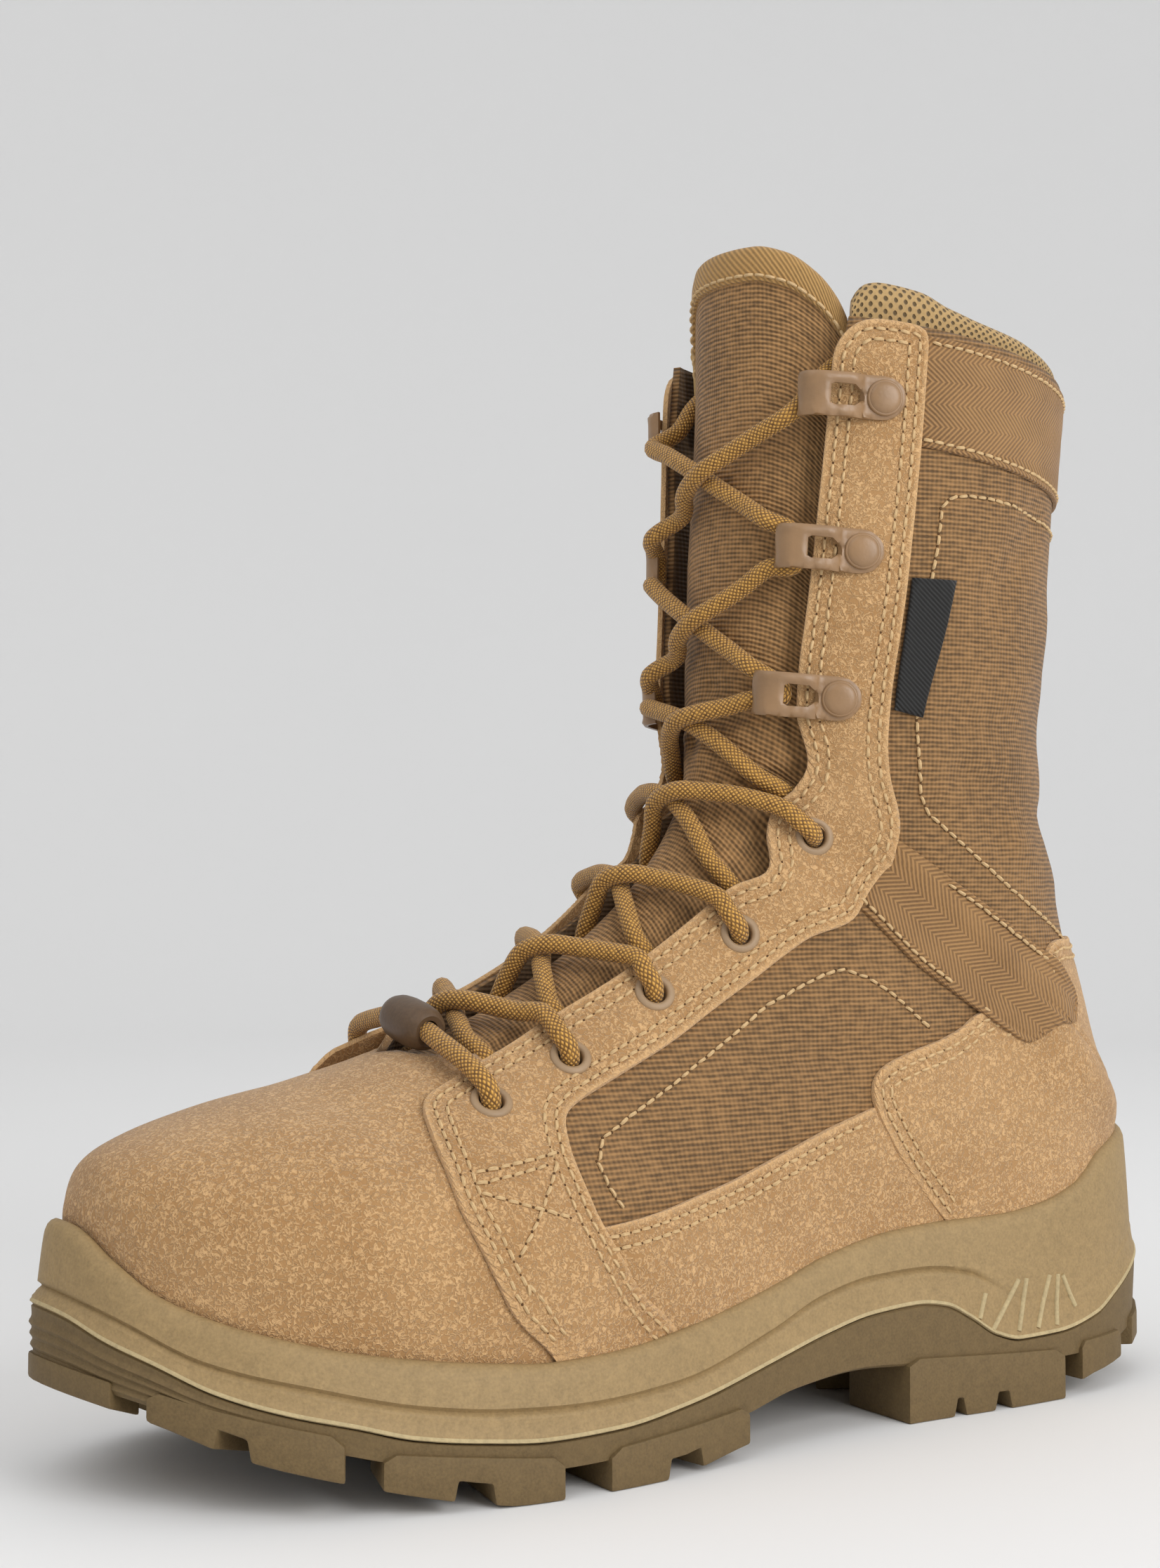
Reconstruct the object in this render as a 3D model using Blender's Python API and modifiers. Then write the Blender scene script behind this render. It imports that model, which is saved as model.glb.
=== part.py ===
"""Left tactical boot: cemented cup sole, hollow last-shaped upper, suede overlays, eyelets, hooks and lace.

Sizes are in millimetres and become metres when a mesh is made. +X points to the toe, +Y to the outer
(lateral) side and +Z up. The sole stands on z = 0.
"""

import math
from collections import namedtuple

import bmesh
import bpy
import numpy as np
from mathutils import Matrix, Vector
from mathutils.geometry import delaunay_2d_cdt

MM = 0.001
OBJECT_NAME = "tactical_boot"

# Walls and clearances
UPPER_WALL = 2.0
OVERLAY_THICK = 1.4
WEBBING_THICK = 1.1
SEAT_GAP = 0.3
EYELET_GAP = 0.7
OVERLAY_GAP = 0.65
TONGUE_THICK = 4.0
TONGUE_DROP = 0.6
TONGUE_UNDER = 3.2
INSOLE_THICK = 4.0
INSOLE_INSET = 2.6
RIM_TUCK = 1.5

# Lace, eyelets and hooks
LACE_RADIUS = 2.2
EYELET_FLANGE_RADIUS = 5.0
EYELET_BARREL_RADIUS = 3.0
EYELET_HOLE_RADIUS = 2.3
EYELET_FLANGE_HEIGHT = 1.2
HOOK_HEIGHT = 10.5
HOOK_SHEET = 1.4
HOOK_RIVET_RADIUS = 4.4
KEEPER_RADIUS = 4.6
KEEPER_LENGTH = 15.0

# Sole
SOLE_FLARE = 6.2
BED_EDGE = 1.5
LUG_FLARE = 7.0
TOE_RIB_DEPTH = 0.9
TOE_RIBS = (0.28, 0.46, 0.64, 0.82)
TOE_RIB_END = 127.0
RIB_HALF = 0.085
STEP_DEPTH = 0.9

# The outline where upper and sole meet, from the toe tip to the heel back: x, y
OUTLINE = {
    1: [(145, -8), (137, 15.5), (119, 34), (92, 45), (62, 50), (30, 48), (-5, 41), (-45, 36.5),
        (-85, 36.5), (-115, 33), (-136, 21), (-146, 0)],
    -1: [(145, -8), (141, -21), (125, -37), (100, -48), (68, -50), (35, -43.5), (-5, -34), (-45, -31.5),
         (-85, -34), (-115, -32), (-136, -20.5), (-146, 0)],
}

# Heights along the boot: x, z
RIM = [(-152, 66), (-140, 65), (-119, 60), (-108, 53), (-95, 49), (-80, 47.2), (-60, 46.8), (-45, 45.8),
       (-24, 42.2), (-3, 36.2), (24, 31), (44, 28.6), (60, 28), (75, 29.2), (90, 31), (105, 33.5),
       (116, 36.3), (126, 39.5), (136, 45), (141, 51), (145, 57.5), (152, 60)]
STEP_LINE = [(-152, 44), (-130, 37), (-112, 28), (-95, 24), (-84, 26), (-76, 30), (-68, 34), (-52, 36),
             (-35, 35.5), (-18, 32.6), (-2, 27), (30, 19.8), (53, 18.5), (72, 19.2), (90, 21.3), (110, 26),
             (128, 31.5), (140, 39.7), (152, 48)]
PARTING = [(-152, 36), (-135, 31), (-118, 23.3), (-110, 19.3), (-96, 16.5), (-83, 16.2), (-75, 18.2),
           (-67, 22.9), (-59, 26.7), (-50, 27.9), (-35, 27.2), (-18, 24.3), (-2, 20.6), (27, 15),
           (46, 12.6), (63, 12.2), (78, 13.4), (92, 15.3), (103, 18.3), (115, 21.4), (126, 25.6),
           (134, 30.7), (140, 34.7), (144, 38.6), (152, 43)]
CUP_FLOOR = [(-152, 33), (-110, 31.5), (-60, 31), (-30, 29), (0, 24.5), (30, 19.5), (55, 18), (80, 19),
             (110, 25), (130, 31), (152, 38)]
BED = [(-152, 20), (-118, 18), (-96, 15.8), (-83, 15.6), (-75, 17.3), (-59, 24), (-40, 25), (-18, 23),
       (-2, 19.8), (27, 14.5), (46, 12.2), (63, 11.8), (92, 14.6), (115, 19.5), (126, 23.5), (140, 28),
       (152, 31.5)]
TREAD_BASE = [(-152, 16), (-130, 12.5), (-110, 10), (-70, 10), (-46, 13.5), (-30, 14.5), (-10, 13),
              (8, 9.5), (30, 7), (60, 6), (85, 8.5), (105, 13), (126, 19), (140, 24), (152, 28)]
TREAD_ROLL = [(-152, 12), (-118, 6), (-104, 3.4), (-101, 0), (-45, 0), (-30, 4), (0, 4.2), (8, 3.4),
              (15, 2.4), (24, 0.9), (30, 0), (70, 0), (76, 0.7), (90, 3.4), (105, 7), (126, 13), (141, 20),
              (152, 23.5)]
BACK_SEAM = [(66, -146), (74, -141), (92, -134.5), (115, -126.5), (138, -121), (160, -118.5), (190, -119.5),
             (215, -121.5), (240, -123.5), (258, -125.5), (280, -127)]

# Sections of the upper. Each runs from its point on the front line round to its end: on the sole's
# outline (end is the share of the way from toe tip to heel back) or, past the heel row, on the back seam
# (end is the seam's height). Bulge is how far the side stands out past the end, half is the shaft's half
# width, widest is where along the section the widest point lies and full how square the front is. Strips
# is the mesh rows up to the next section.
Foot = namedtuple("Foot", "x y z end bulge widest full strips")
FOOT_SECTIONS = [
    Foot(145, -8, 57.5, 0.000, 0, 0.80, 0.62, 2), Foot(144, -8, 63.5, 0.030, 0, 0.80, 0.62, 1),
    Foot(140, -8, 70.5, 0.075, 0, 0.80, 0.62, 2), Foot(129, -7.5, 75.8, 0.135, 0, 0.80, 0.62, 1),
    Foot(112, -7, 80.8, 0.210, 0.5, 0.78, 0.60, 1), Foot(94, -6, 85, 0.285, 0.8, 0.78, 0.56, 1),
    Foot(76, -4.5, 90, 0.355, 1, 0.78, 0.52, 2), Foot(57, -3, 97.5, 0.425, 1, 0.78, 0.48, 2),
    Foot(38, -1.5, 108.5, 0.495, 1, 0.78, 0.46, 2), Foot(22, -0.5, 119.5, 0.560, 1, 0.78, 0.46, 2),
    Foot(8, 0, 131.5, 0.630, 1, 0.74, 0.47, 2), Foot(-1, 0, 142, 0.700, 1, 0.68, 0.49, 2),
    Foot(-6.5, 0, 150.5, 0.780, 1.2, 0.62, 0.52, 2), Foot(-10, 0, 157.5, 0.880, 5.5, 0.57, 0.54, 3),
    Foot(-12, 0, 163, 1.000, 38.0, 0.53, 0.55, 3),
]
Shaft = namedtuple("Shaft", "x y z end half widest full strips")
SHAFT_SECTIONS = [
    Shaft(-13.5, 0, 169, 88, 38.3, 0.52, 0.55, 3), Shaft(-14.7, 0, 176, 115, 39.3, 0.51, 0.55, 2),
    Shaft(-15.7, 0, 186, 145, 40.3, 0.50, 0.55, 1), Shaft(-16.5, 0, 202, 175, 41.5, 0.50, 0.55, 1),
    Shaft(-17, 0, 225, 208, 42.9, 0.50, 0.55, 1), Shaft(-17, 0, 250, 237, 44.1, 0.50, 0.55, 1),
    Shaft(-16, 0, 271, 258, 45, 0.50, 0.55, 0), Shaft(-15.5, 0, 292, 280, 45.5, 0.50, 0.55, 0),
]
HEEL = len(FOOT_SECTIONS) - 1
COLLAR = HEEL + len(SHAFT_SECTIONS) - 1
SPLIT = 0.62
ROUND_REAR = 0.55

# Panel outlines on the upper: station is the section number, around runs from the front line (0) to the
# rim or the back seam (1).
THROAT = [(6.2, 0.0), (6.5, 0.12), (7, 0.175), (8, 0.19), (9, 0.21), (10, 0.235), (11, 0.262), (12, 0.288),
          (13, 0.27), (14, 0.285), (15, 0.31), (16, 0.285), (17, 0.28), (18, 0.29), (19, 0.307),
          (20, 0.322), (21, 0.35)]
FACING_FRONT = [(21.0, 0.38), (20.86, 0.347), (20.6, 0.319), (19.8, 0.307), (18.9, 0.293), (17.1, 0.269),
                (16.1, 0.265), (15.6, 0.284), (15.05, 0.295), (14.3, 0.27), (13.7, 0.245), (12.9, 0.244),
                (12.4, 0.252), (12.1, 0.278), (11.8, 0.287), (11.1, 0.246), (10.1, 0.224), (8.9, 0.202),
                (7.6, 0.182), (6.7, 0.184), (5.9, 0.206), (5.74, 0.225), (5.53, 0.317), (5.34, 0.445),
                (5.39, 0.577), (5.6, 0.784)]
FACING_FOOT = (5.79, 7.21)
FACING_REAR = [(6.88, 0.635), (6.76, 0.507), (6.86, 0.407), (7.07, 0.341), (7.32, 0.331), (8.3, 0.337),
               (9.5, 0.349), (11.0, 0.377), (11.6, 0.389), (12.3, 0.422), (12.55, 0.429), (13.8, 0.425),
               (14.7, 0.453), (15.3, 0.461), (15.75, 0.447), (16.3, 0.447), (17.1, 0.459), (18.4, 0.481),
               (19.8, 0.495), (21.0, 0.503)]
BAND_TOP = [(10.76, 0.613), (10.2, 0.595), (8.9, 0.561), (7.6, 0.543), (6.86, 0.527)]
BAND_FRONT = [(6.95, 0.635)]
BAND_REAR = [(10.9, 0.918), (10.8, 0.731)]
COUNTER_FRONT = [(10.96, 0.918), (10.87, 0.731), (10.85, 0.617), (10.99, 0.585), (11.27, 0.579),
                 (11.92, 0.595), (12.76, 0.632), (12.98, 0.727), (13.9, 0.752), (14.85, 0.785),
                 (15.06, 0.738), (15.1, 0.712), (15.44, 0.756), (15.85, 0.86)]
COUNTER_SEAM = (14.0, 16.05)
STRAP = [(12.68, 0.437), (13.8, 0.431), (14.62, 0.458), (14.67, 0.54), (14.82, 0.66), (14.98, 0.727),
         (14.79, 0.774), (13.9, 0.745), (13.06, 0.72), (12.88, 0.627), (12.7, 0.525)]
CUFF_LOW, CUFF_HIGH, CUFF_FRONT = 19.66, 20.9, 0.509
TAG = [(18.46, 0.49), (18.53, 0.575), (16.99, 0.522), (16.93, 0.465)]
EYELETS = [(6.46, 0.269), (7.58, 0.267), (9.0, 0.267), (10.55, 0.303), (13.14, 0.321)]
Hook = namedtuple("Hook", "station around front_station front_around")
HOOKS = [Hook(16.77, 0.353, 16.43, 0.202), Hook(18.59, 0.385, 18.53, 0.228),
         Hook(20.06, 0.415, 20.02, 0.267)]

# Tongue: its half width by station, and its top edge by share across
TONGUE_BOTTOM = 5.0
TONGUE_HALF = [(5, 0.16), (6.5, 0.22), (8, 0.25), (10, 0.29), (12, 0.345), (14, 0.35), (17, 0.355),
               (19.5, 0.355), (20.4, 0.305), (22, 0.305)]
TONGUE_TOP = [(0, 21.83), (0.35, 21.83), (0.6, 21.74), (0.8, 21.5), (0.92, 21.2), (1.0, 20.8)]
# Collar padding above the upper's edge: share around, rise
COLLAR_RISE = [(0.355, 6.5), (0.42, 8.5), (0.5, 8), (0.57, 5.5), (0.66, 3), (0.78, 1.8), (1.0, 1.5)]

# Side lugs come in pairs under one raised plate: ends along x, reach inwards, plate top at both ends, and
# the notches as shares of the length
LugPair = namedtuple("LugPair", "front rear reach top_front top_rear notches")
SIDE_LUGS = [
    LugPair(135, 105, 20, 26.5, 17, [(0.36, 0.54)]), LugPair(98, 60, 26, 13.4, 9.0, [(0.38, 0.6)]),
    LugPair(49, 8, 23, 9.0, 12.2, [(0.38, 0.62)]),
    LugPair(-46, -98, 24, 15.6, 12.6, [(0.29, 0.36), (0.54, 0.64)]),
    LugPair(-104, -121, 18, 13.6, 14.2, []),
]
NOTCH_RISE = 4.4
CentreLug = namedtuple("CentreLug", "front rear half")
CENTRE_LUGS = [CentreLug(120, 104, 11), CentreLug(94, 76, 13), CentreLug(67, 50, 13), CentreLug(41, 24, 12),
               CentreLug(-52, -70, 7), CentreLug(-78, -95, 7)]
TOE_LUG_X = 139.0
HEEL_TIP_X = -128.0
# Slanted ribs on the heel's side: foot x, foot z, head x, head z
HEEL_RIBS = [(-82, 20, -79, 31), (-89, 19.5, -85, 33.5), (-96, 20, -91, 36), (-103, 21.5, -97.5, 38.5),
             (-110, 24.5, -104, 41)]


def through(rows, at, before=None, after=None):
    """A smooth curve through the rows, read at row numbers."""
    rows = np.asarray(rows, float)
    line = np.concatenate([[2 * rows[0] - rows[1] if before is None else before], rows,
                           [2 * rows[-1] - rows[-2] if after is None else after]])
    at = np.clip(np.asarray(at, float), 0, len(rows) - 1)
    i = np.minimum(at.astype(int), len(rows) - 2)
    f = at - i
    if rows.ndim > 1:
        f = f[:, None]
    a, b, c, d = line[i], line[i + 1], line[i + 2], line[i + 3]
    return b + 0.5 * f * (c - a + f * (2 * a - 5 * b + 4 * c - d + f * (3 * b - a - 3 * c + d)))


def level(rows, at):
    """A height read from a table of x and z without overshoot."""
    x, z = np.asarray(rows, float).T
    step, slope = np.diff(x), np.diff(z) / np.diff(x)
    tilt = np.concatenate([[slope[0]], np.zeros(len(x) - 2), [slope[-1]]])
    for k in range(1, len(x) - 1):
        if slope[k - 1] * slope[k] > 0:
            a, b = 2 * step[k] + step[k - 1], step[k] + 2 * step[k - 1]
            tilt[k] = (a + b) / (a / slope[k - 1] + b / slope[k])
    at = np.clip(np.asarray(at, float), x[0], x[-1])
    i = np.clip(np.searchsorted(x, at) - 1, 0, len(step) - 1)
    f = (at - x[i]) / step[i]
    return ((2 * f ** 3 - 3 * f ** 2 + 1) * z[i] + (f ** 3 - 2 * f ** 2 + f) * step[i] * tilt[i]
            + (3 * f ** 2 - 2 * f ** 3) * z[i + 1] + (f ** 3 - f ** 2) * step[i] * tilt[i + 1])


def outline_points(side):
    rows, other = np.asarray(OUTLINE[side], float), np.asarray(OUTLINE[-side], float)
    points = through(rows, np.linspace(0, len(rows) - 1, 600), other[1], other[-2])
    return points, np.concatenate([[0], np.cumsum(np.linalg.norm(np.diff(points, axis=0), axis=1))])


OUTLINE_POINTS = {side: outline_points(side) for side in (1, -1)}


def outline_at(side, length):
    points, run = OUTLINE_POINTS[side]
    return np.stack([np.interp(length, run, points[:, k]) for k in (0, 1)], -1)


def outline(side, share, out=0.0):
    """Points of the sole's outline and their directions, by share from toe tip to heel back, moved out."""
    total = OUTLINE_POINTS[side][1][-1]
    length = np.clip(share, 0, 1) * total
    way = outline_at(side, np.minimum(length + 2, total)) - outline_at(side, np.maximum(length - 2, 0))
    way = way / np.linalg.norm(way, axis=-1, keepdims=True)
    share = np.asarray(share, float)
    ends = (share <= 0) | (share >= 1)
    across = np.stack([np.zeros_like(share), np.where(share <= 0, side, -side)], -1)
    way = np.where(ends[..., None], across, way)
    outward = np.stack([way[..., 1], -way[..., 0]], -1) * side
    return outline_at(side, length) + outward * np.asarray(out)[..., None], way


def share_at(side, x):
    points, run = OUTLINE_POINTS[side]
    return float(np.interp(-x, -points[:, 0], run / run[-1]))


SECTIONS = FOOT_SECTIONS + SHAFT_SECTIONS
FRONT_LINE = np.array([row[:3] for row in SECTIONS], float)
WIDEST = np.array([row.widest for row in SECTIONS])
FULL = np.array([row.full for row in SECTIONS])
RIM_SHARE = np.array([row.end for row in FOOT_SECTIONS])
SEAM_RISE = np.array([44.0, 66.0] + [row.end for row in SHAFT_SECTIONS])


def half_widths(side):
    edge = [float(outline(side, np.array(row.end))[0][1]) for row in FOOT_SECTIONS]
    foot = [(y - row.y) * side + row.bulge for y, row in zip(edge, FOOT_SECTIONS)]
    return np.array(foot + [row.half for row in SHAFT_SECTIONS])


HALF_WIDTH = {side: half_widths(side) for side in (1, -1)}


def half_skin(station, around, side):
    """Points of one side of the upper: two cubic arcs, front line to widest point to end."""
    front = through(FRONT_LINE, station)
    on_rim = station <= HEEL
    share = np.where(on_rim, np.clip(through(RIM_SHARE, np.minimum(station, HEEL)), 0, 1), 1.0)
    foot, way = outline(side, share)
    rise = through(SEAM_RISE, np.maximum(station - HEEL, 0) + 1)
    end_x = np.where(on_rim, foot[:, 0], level(BACK_SEAM, rise))
    end_y = np.where(on_rim, foot[:, 1], 0.0)
    end_z = np.where(on_rim, level(RIM, foot[:, 0]) - RIM_TUCK, rise)
    reach = np.hypot(end_x - front[:, 0], end_z - front[:, 2])
    along_x = (end_x - front[:, 0]) / np.maximum(reach, 1e-9)
    along_z = (end_z - front[:, 2]) / np.maximum(reach, 1e-9)
    end_side = (end_y - front[:, 1]) * side
    half = np.maximum(through(HALF_WIDTH[side], station), end_side)
    widest, full = through(WIDEST, station) * reach, through(FULL, station)
    turn_r = np.where(on_rim, np.abs(way[:, 0]), 0.0)
    turn_s = np.where(on_rim, -np.abs(way[:, 1]) * np.abs(along_x), -1.0)
    size = np.hypot(turn_r, turn_s) + 1e-12
    turn_r, turn_s = turn_r / size, turn_s / size
    pull = ROUND_REAR * np.hypot(turn_r * (reach - widest), turn_s * (half - end_side))
    zero = np.zeros_like(reach)
    first = ((zero, zero), (zero, full * half), (widest * (1 - full), half), (widest, half))
    second = ((widest, half), (widest + ROUND_REAR * (reach - widest), half),
              (reach - pull * turn_r, end_side - pull * turn_s), (reach, end_side))
    ahead = around <= SPLIT
    f = np.where(ahead, around / SPLIT, (around - SPLIT) / (1 - SPLIT))
    weights = ((1 - f) ** 3, 3 * f * (1 - f) ** 2, 3 * f ** 2 * (1 - f), f ** 3)
    r = sum(w * np.where(ahead, a[0], b[0]) for w, a, b in zip(weights, first, second))
    s = sum(w * np.where(ahead, a[1], b[1]) for w, a, b in zip(weights, first, second))
    return np.stack([front[:, 0] + r * along_x, front[:, 1] + side * s, front[:, 2] + r * along_z], -1)


def skin(station, around):
    """Points of the upper's outside. Around is positive on the lateral side and negative on the medial."""
    station, around = np.broadcast_arrays(np.asarray(station, float), np.asarray(around, float))
    station, around = station.ravel(), around.ravel()
    past = np.abs(around) > 1
    around = np.where(past & (station > HEEL), around - 2 * np.sign(around), np.clip(around, -1, 1))
    lateral = half_skin(station, np.abs(around), 1)
    medial = half_skin(station, np.abs(around), -1)
    return np.where((around >= 0)[:, None], lateral, medial)


def skin_normal(station, around):
    station, around = np.broadcast_arrays(np.asarray(station, float), np.asarray(around, float))
    station, around = np.maximum(station.ravel(), 0.2), around.ravel()
    across = skin(station, around + 0.004) - skin(station, around - 0.004)
    up = skin(station + 0.03, around) - skin(station - 0.03, around)
    normal = np.cross(across, up)
    return normal / np.linalg.norm(normal, axis=1, keepdims=True)


def raised(station, around, lift):
    return skin(station, around) + skin_normal(station, around) * np.asarray(lift, float).reshape(-1, 1)


def around_at_rim(station, side, lift):
    """The share around at which the upper stands this far above the sole's rim."""
    low, high = 0.7, 1.0
    for _ in range(24):
        middle = (low + high) / 2
        point = skin(station, side * middle)[0]
        if point[2] > float(level(RIM, point[0])) + lift:
            low = middle
        else:
            high = middle
    return low


# Scene set-up
for existing in list(bpy.data.objects):
    bpy.data.objects.remove(existing, do_unlink=True)
boot = bpy.data.collections.new(OBJECT_NAME)
bpy.context.scene.collection.children.link(boot)
cutters = bpy.data.collections.new("cutters")
bpy.context.scene.collection.children.link(cutters)
root = bpy.data.objects.new(OBJECT_NAME + "_root", None)
boot.objects.link(root)


def material(name, colour, roughness, metallic=0.0):
    made = bpy.data.materials.new(name)
    made.use_nodes = True
    shader = made.node_tree.nodes["Principled BSDF"]
    linear = [c / 12.92 if c <= 0.04045 else ((c + 0.055) / 1.055) ** 2.4
              for c in (int(colour[k:k + 2], 16) / 255 for k in (0, 2, 4))]
    shader.inputs["Base Color"].default_value = (*linear, 1)
    shader.inputs["Roughness"].default_value = roughness
    shader.inputs["Metallic"].default_value = metallic
    return made


SUEDE = material("suede", "B38C5E", 0.95)
NYLON = material("woven_nylon", "7F6445", 0.85)
WEBBING = material("nylon_webbing", "7C6040", 0.8)
MESH = material("spacer_mesh", "8F7650", 0.9)
BINDING = material("binding_tape", "957B54", 0.85)
MIDSOLE_FOAM = material("moulded_foam", "A1875C", 0.7)
RUBBER = material("outsole_rubber", "71603F", 0.75)
FOOTBED = material("footbed_textile", "4A3D2C", 0.95)
PAINTED = material("painted_metal", "7A6043", 0.45, 0.3)
CORD = material("braided_cord", "8C6A31", 0.85)
LABEL = material("woven_label", "201E1C", 0.8)


def add(name, bm, finish, collection=boot):
    bmesh.ops.recalc_face_normals(bm, faces=bm.faces)
    mesh = bpy.data.meshes.new(name)
    bm.to_mesh(mesh)
    bm.free()
    return link(name, mesh, finish, collection)


def link(name, mesh, finish, collection=boot):
    obj = bpy.data.objects.new(name, mesh)
    if finish:
        mesh.materials.clear()
        mesh.materials.append(finish)
        mesh.shade_smooth()
        mesh.set_sharp_from_angle(angle=math.radians(40))
    else:
        obj.hide_render = True
        obj.display_type = "WIRE"
    collection.objects.link(obj)
    obj.parent = root
    return obj


def evaluated(obj):
    """The object's mesh with its modifiers applied."""
    graph = bpy.context.evaluated_depsgraph_get()
    return bpy.data.meshes.new_from_object(obj.evaluated_get(graph))


def settle(obj):
    """Turns the modifiers into the object's own mesh."""
    mesh = evaluated(obj)
    obj.modifiers.clear()
    obj.data = mesh
    return obj


def boolean(obj, operation, other, keep=False, solver="EXACT"):
    flat = obj.modifiers.new("flat_faces", "TRIANGULATE")
    flat.min_vertices = 4
    cut = obj.modifiers.new(operation.lower(), "BOOLEAN")
    cut.operation, cut.object, cut.solver = operation, other, solver
    settle(obj)
    if not keep:
        bpy.data.objects.remove(other, do_unlink=True)


def solidify(obj, thickness, offset):
    shell = obj.modifiers.new("wall", "SOLIDIFY")
    shell.thickness, shell.offset = thickness * MM, offset
    return settle(obj)


def points_of(bm, points):
    return [bm.verts.new(Vector(point) * MM) for point in points]


def quads(bm, grid):
    """Faces over a grid of vertices, leaving out corners that fall together."""
    for one, two in zip(grid, grid[1:]):
        for a, b, c, d in zip(one, one[1:], two[1:], two):
            bm.faces.new((a, b, c, d))


def weld(bm):
    bmesh.ops.remove_doubles(bm, verts=bm.verts, dist=0.0001)


# Mesh stations: the rows shared by upper, midsole, outsole and insole
STATIONS = [number + k / row.strips for number, row in enumerate(SECTIONS) for k in range(row.strips)]
STATIONS = np.array([s for s in STATIONS if s < COLLAR] + [float(COLLAR)])
RIM_STATIONS = STATIONS[STATIONS <= HEEL]
SOLE_SHARES = np.clip(through(RIM_SHARE, RIM_STATIONS), 0, 1)
UPPER_COLUMNS = 9


def upper_wall():
    bm = bmesh.new()
    start = np.interp(STATIONS, *np.array(THROAT).T)
    start[STATIONS <= THROAT[0][0]] = 0
    for side in (1, -1):
        grid = []
        for station, first in zip(STATIONS, start):
            around = first + (1 - first) * np.linspace(0, 1, UPPER_COLUMNS + 1)
            grid.append(points_of(bm, skin(station, side * around)))
        quads(bm, grid)
        feet = skin(RIM_STATIONS, side * np.ones_like(RIM_STATIONS))
        skirt = [[row[-1] for row in grid[:len(RIM_STATIONS)]]]
        floor = level(CUP_FLOOR, feet[:, 0]) + SEAT_GAP
        feet[:, 2] = floor
        quads(bm, skirt + [points_of(bm, feet)])
    weld(bm)
    return solidify(add("upper", bm, NYLON), UPPER_WALL, -1)


def sole_loop(out, height):
    """A closed loop round the sole: lateral side from toe to heel, then back along the medial side."""
    rows = []
    for side in (1, -1):
        shares = SOLE_SHARES if side > 0 else SOLE_SHARES[-2:0:-1]
        flat = outline(side, shares)[0]
        moved = outline(side, shares, out(flat[:, 0]) if callable(out) else np.full(len(shares), out))[0]
        rows.append(np.column_stack([moved, height(flat[:, 0])]))
    return np.concatenate(rows)


def stacked(loops, name, finish):
    """A solid through a stack of loops, closed by strips across the first and the last."""
    bm = bmesh.new()
    rings = [points_of(bm, loop) for loop in loops]
    count = len(rings[0])
    for one, two in zip(rings, rings[1:]):
        for k in range(count):
            bm.faces.new((one[k], one[(k + 1) % count], two[(k + 1) % count], two[k]))
    for ring in (rings[0], rings[-1]):
        for k in range(count // 2):
            corners = [ring[k], ring[k + 1], ring[count - k - 1], ring[(count - k) % count]]
            bm.faces.new(list(dict.fromkeys(corners)))
    return add(name, bm, finish)


def midsole_body():
    rim = lambda x: level(RIM, x)
    step = lambda x: level(STEP_LINE, x)
    parting = lambda x: level(PARTING, x)
    groove = lambda x: STEP_DEPTH * np.clip((x + 80) / 12, 0, 1)
    loops = [
        sole_loop(SEAT_GAP, lambda x: level(CUP_FLOOR, x)),
        sole_loop(SEAT_GAP, lambda x: rim(x) - 0.8),
        sole_loop(1.4, rim),
        sole_loop(3.6, lambda x: rim(x) - 1.6),
        sole_loop(4.7, lambda x: rim(x) - 0.45 * (rim(x) - step(x))),
        sole_loop(5.2, lambda x: step(x) + 0.9),
        sole_loop(lambda x: 5.2 - groove(x), step),
        sole_loop(5.5, lambda x: step(x) - 1.0),
        sole_loop(SOLE_FLARE + 0.3, lambda x: parting(x) + 1.1),
        sole_loop(SOLE_FLARE, lambda x: parting(x) + SEAT_GAP),
        sole_loop(BED_EDGE - SEAT_GAP, lambda x: level(BED, x) + SEAT_GAP),
    ]
    body = stacked(loops, "midsole", MIDSOLE_FOAM)
    bm = bmesh.new()
    for side in (1, -1):
        for foot_x, foot_z, head_x, head_z in HEEL_RIBS:
            low, high = [], []
            for x, z, wide in ((foot_x, foot_z, 2.6), (head_x, head_z, 0.8)):
                for end in (-1, 1):
                    at, way = outline(side, np.array(share_at(side, x)))
                    outward = np.array([way[1], -way[0]]) * side
                    along = np.array([way[0], way[1]]) * end
                    low.append((*(at + outward * 2.5 + along * wide), z))
                    high.append((*(at + outward * 6.9 + along * wide * 0.45), z))
            add_prism(bm, [low[k] for k in (0, 1, 3, 2)], [high[k] for k in (0, 1, 3, 2)])
    boolean(body, "UNION", add("heel_ribs", bm, None, cutters))
    return body


def add_prism(bm, low, high):
    """A prism between two outlines with the same number of corners."""
    bottom, top = points_of(bm, low), points_of(bm, high)
    count = len(bottom)
    faces = [bm.faces.new(bottom[::-1]), bm.faces.new(top)]
    for k in range(count):
        n = (k + 1) % count
        faces.append(bm.faces.new((bottom[k], bottom[n], top[n], top[k])))
    bmesh.ops.recalc_face_normals(bm, faces=faces)
    bmesh.ops.triangulate(bm, faces=faces)


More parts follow.
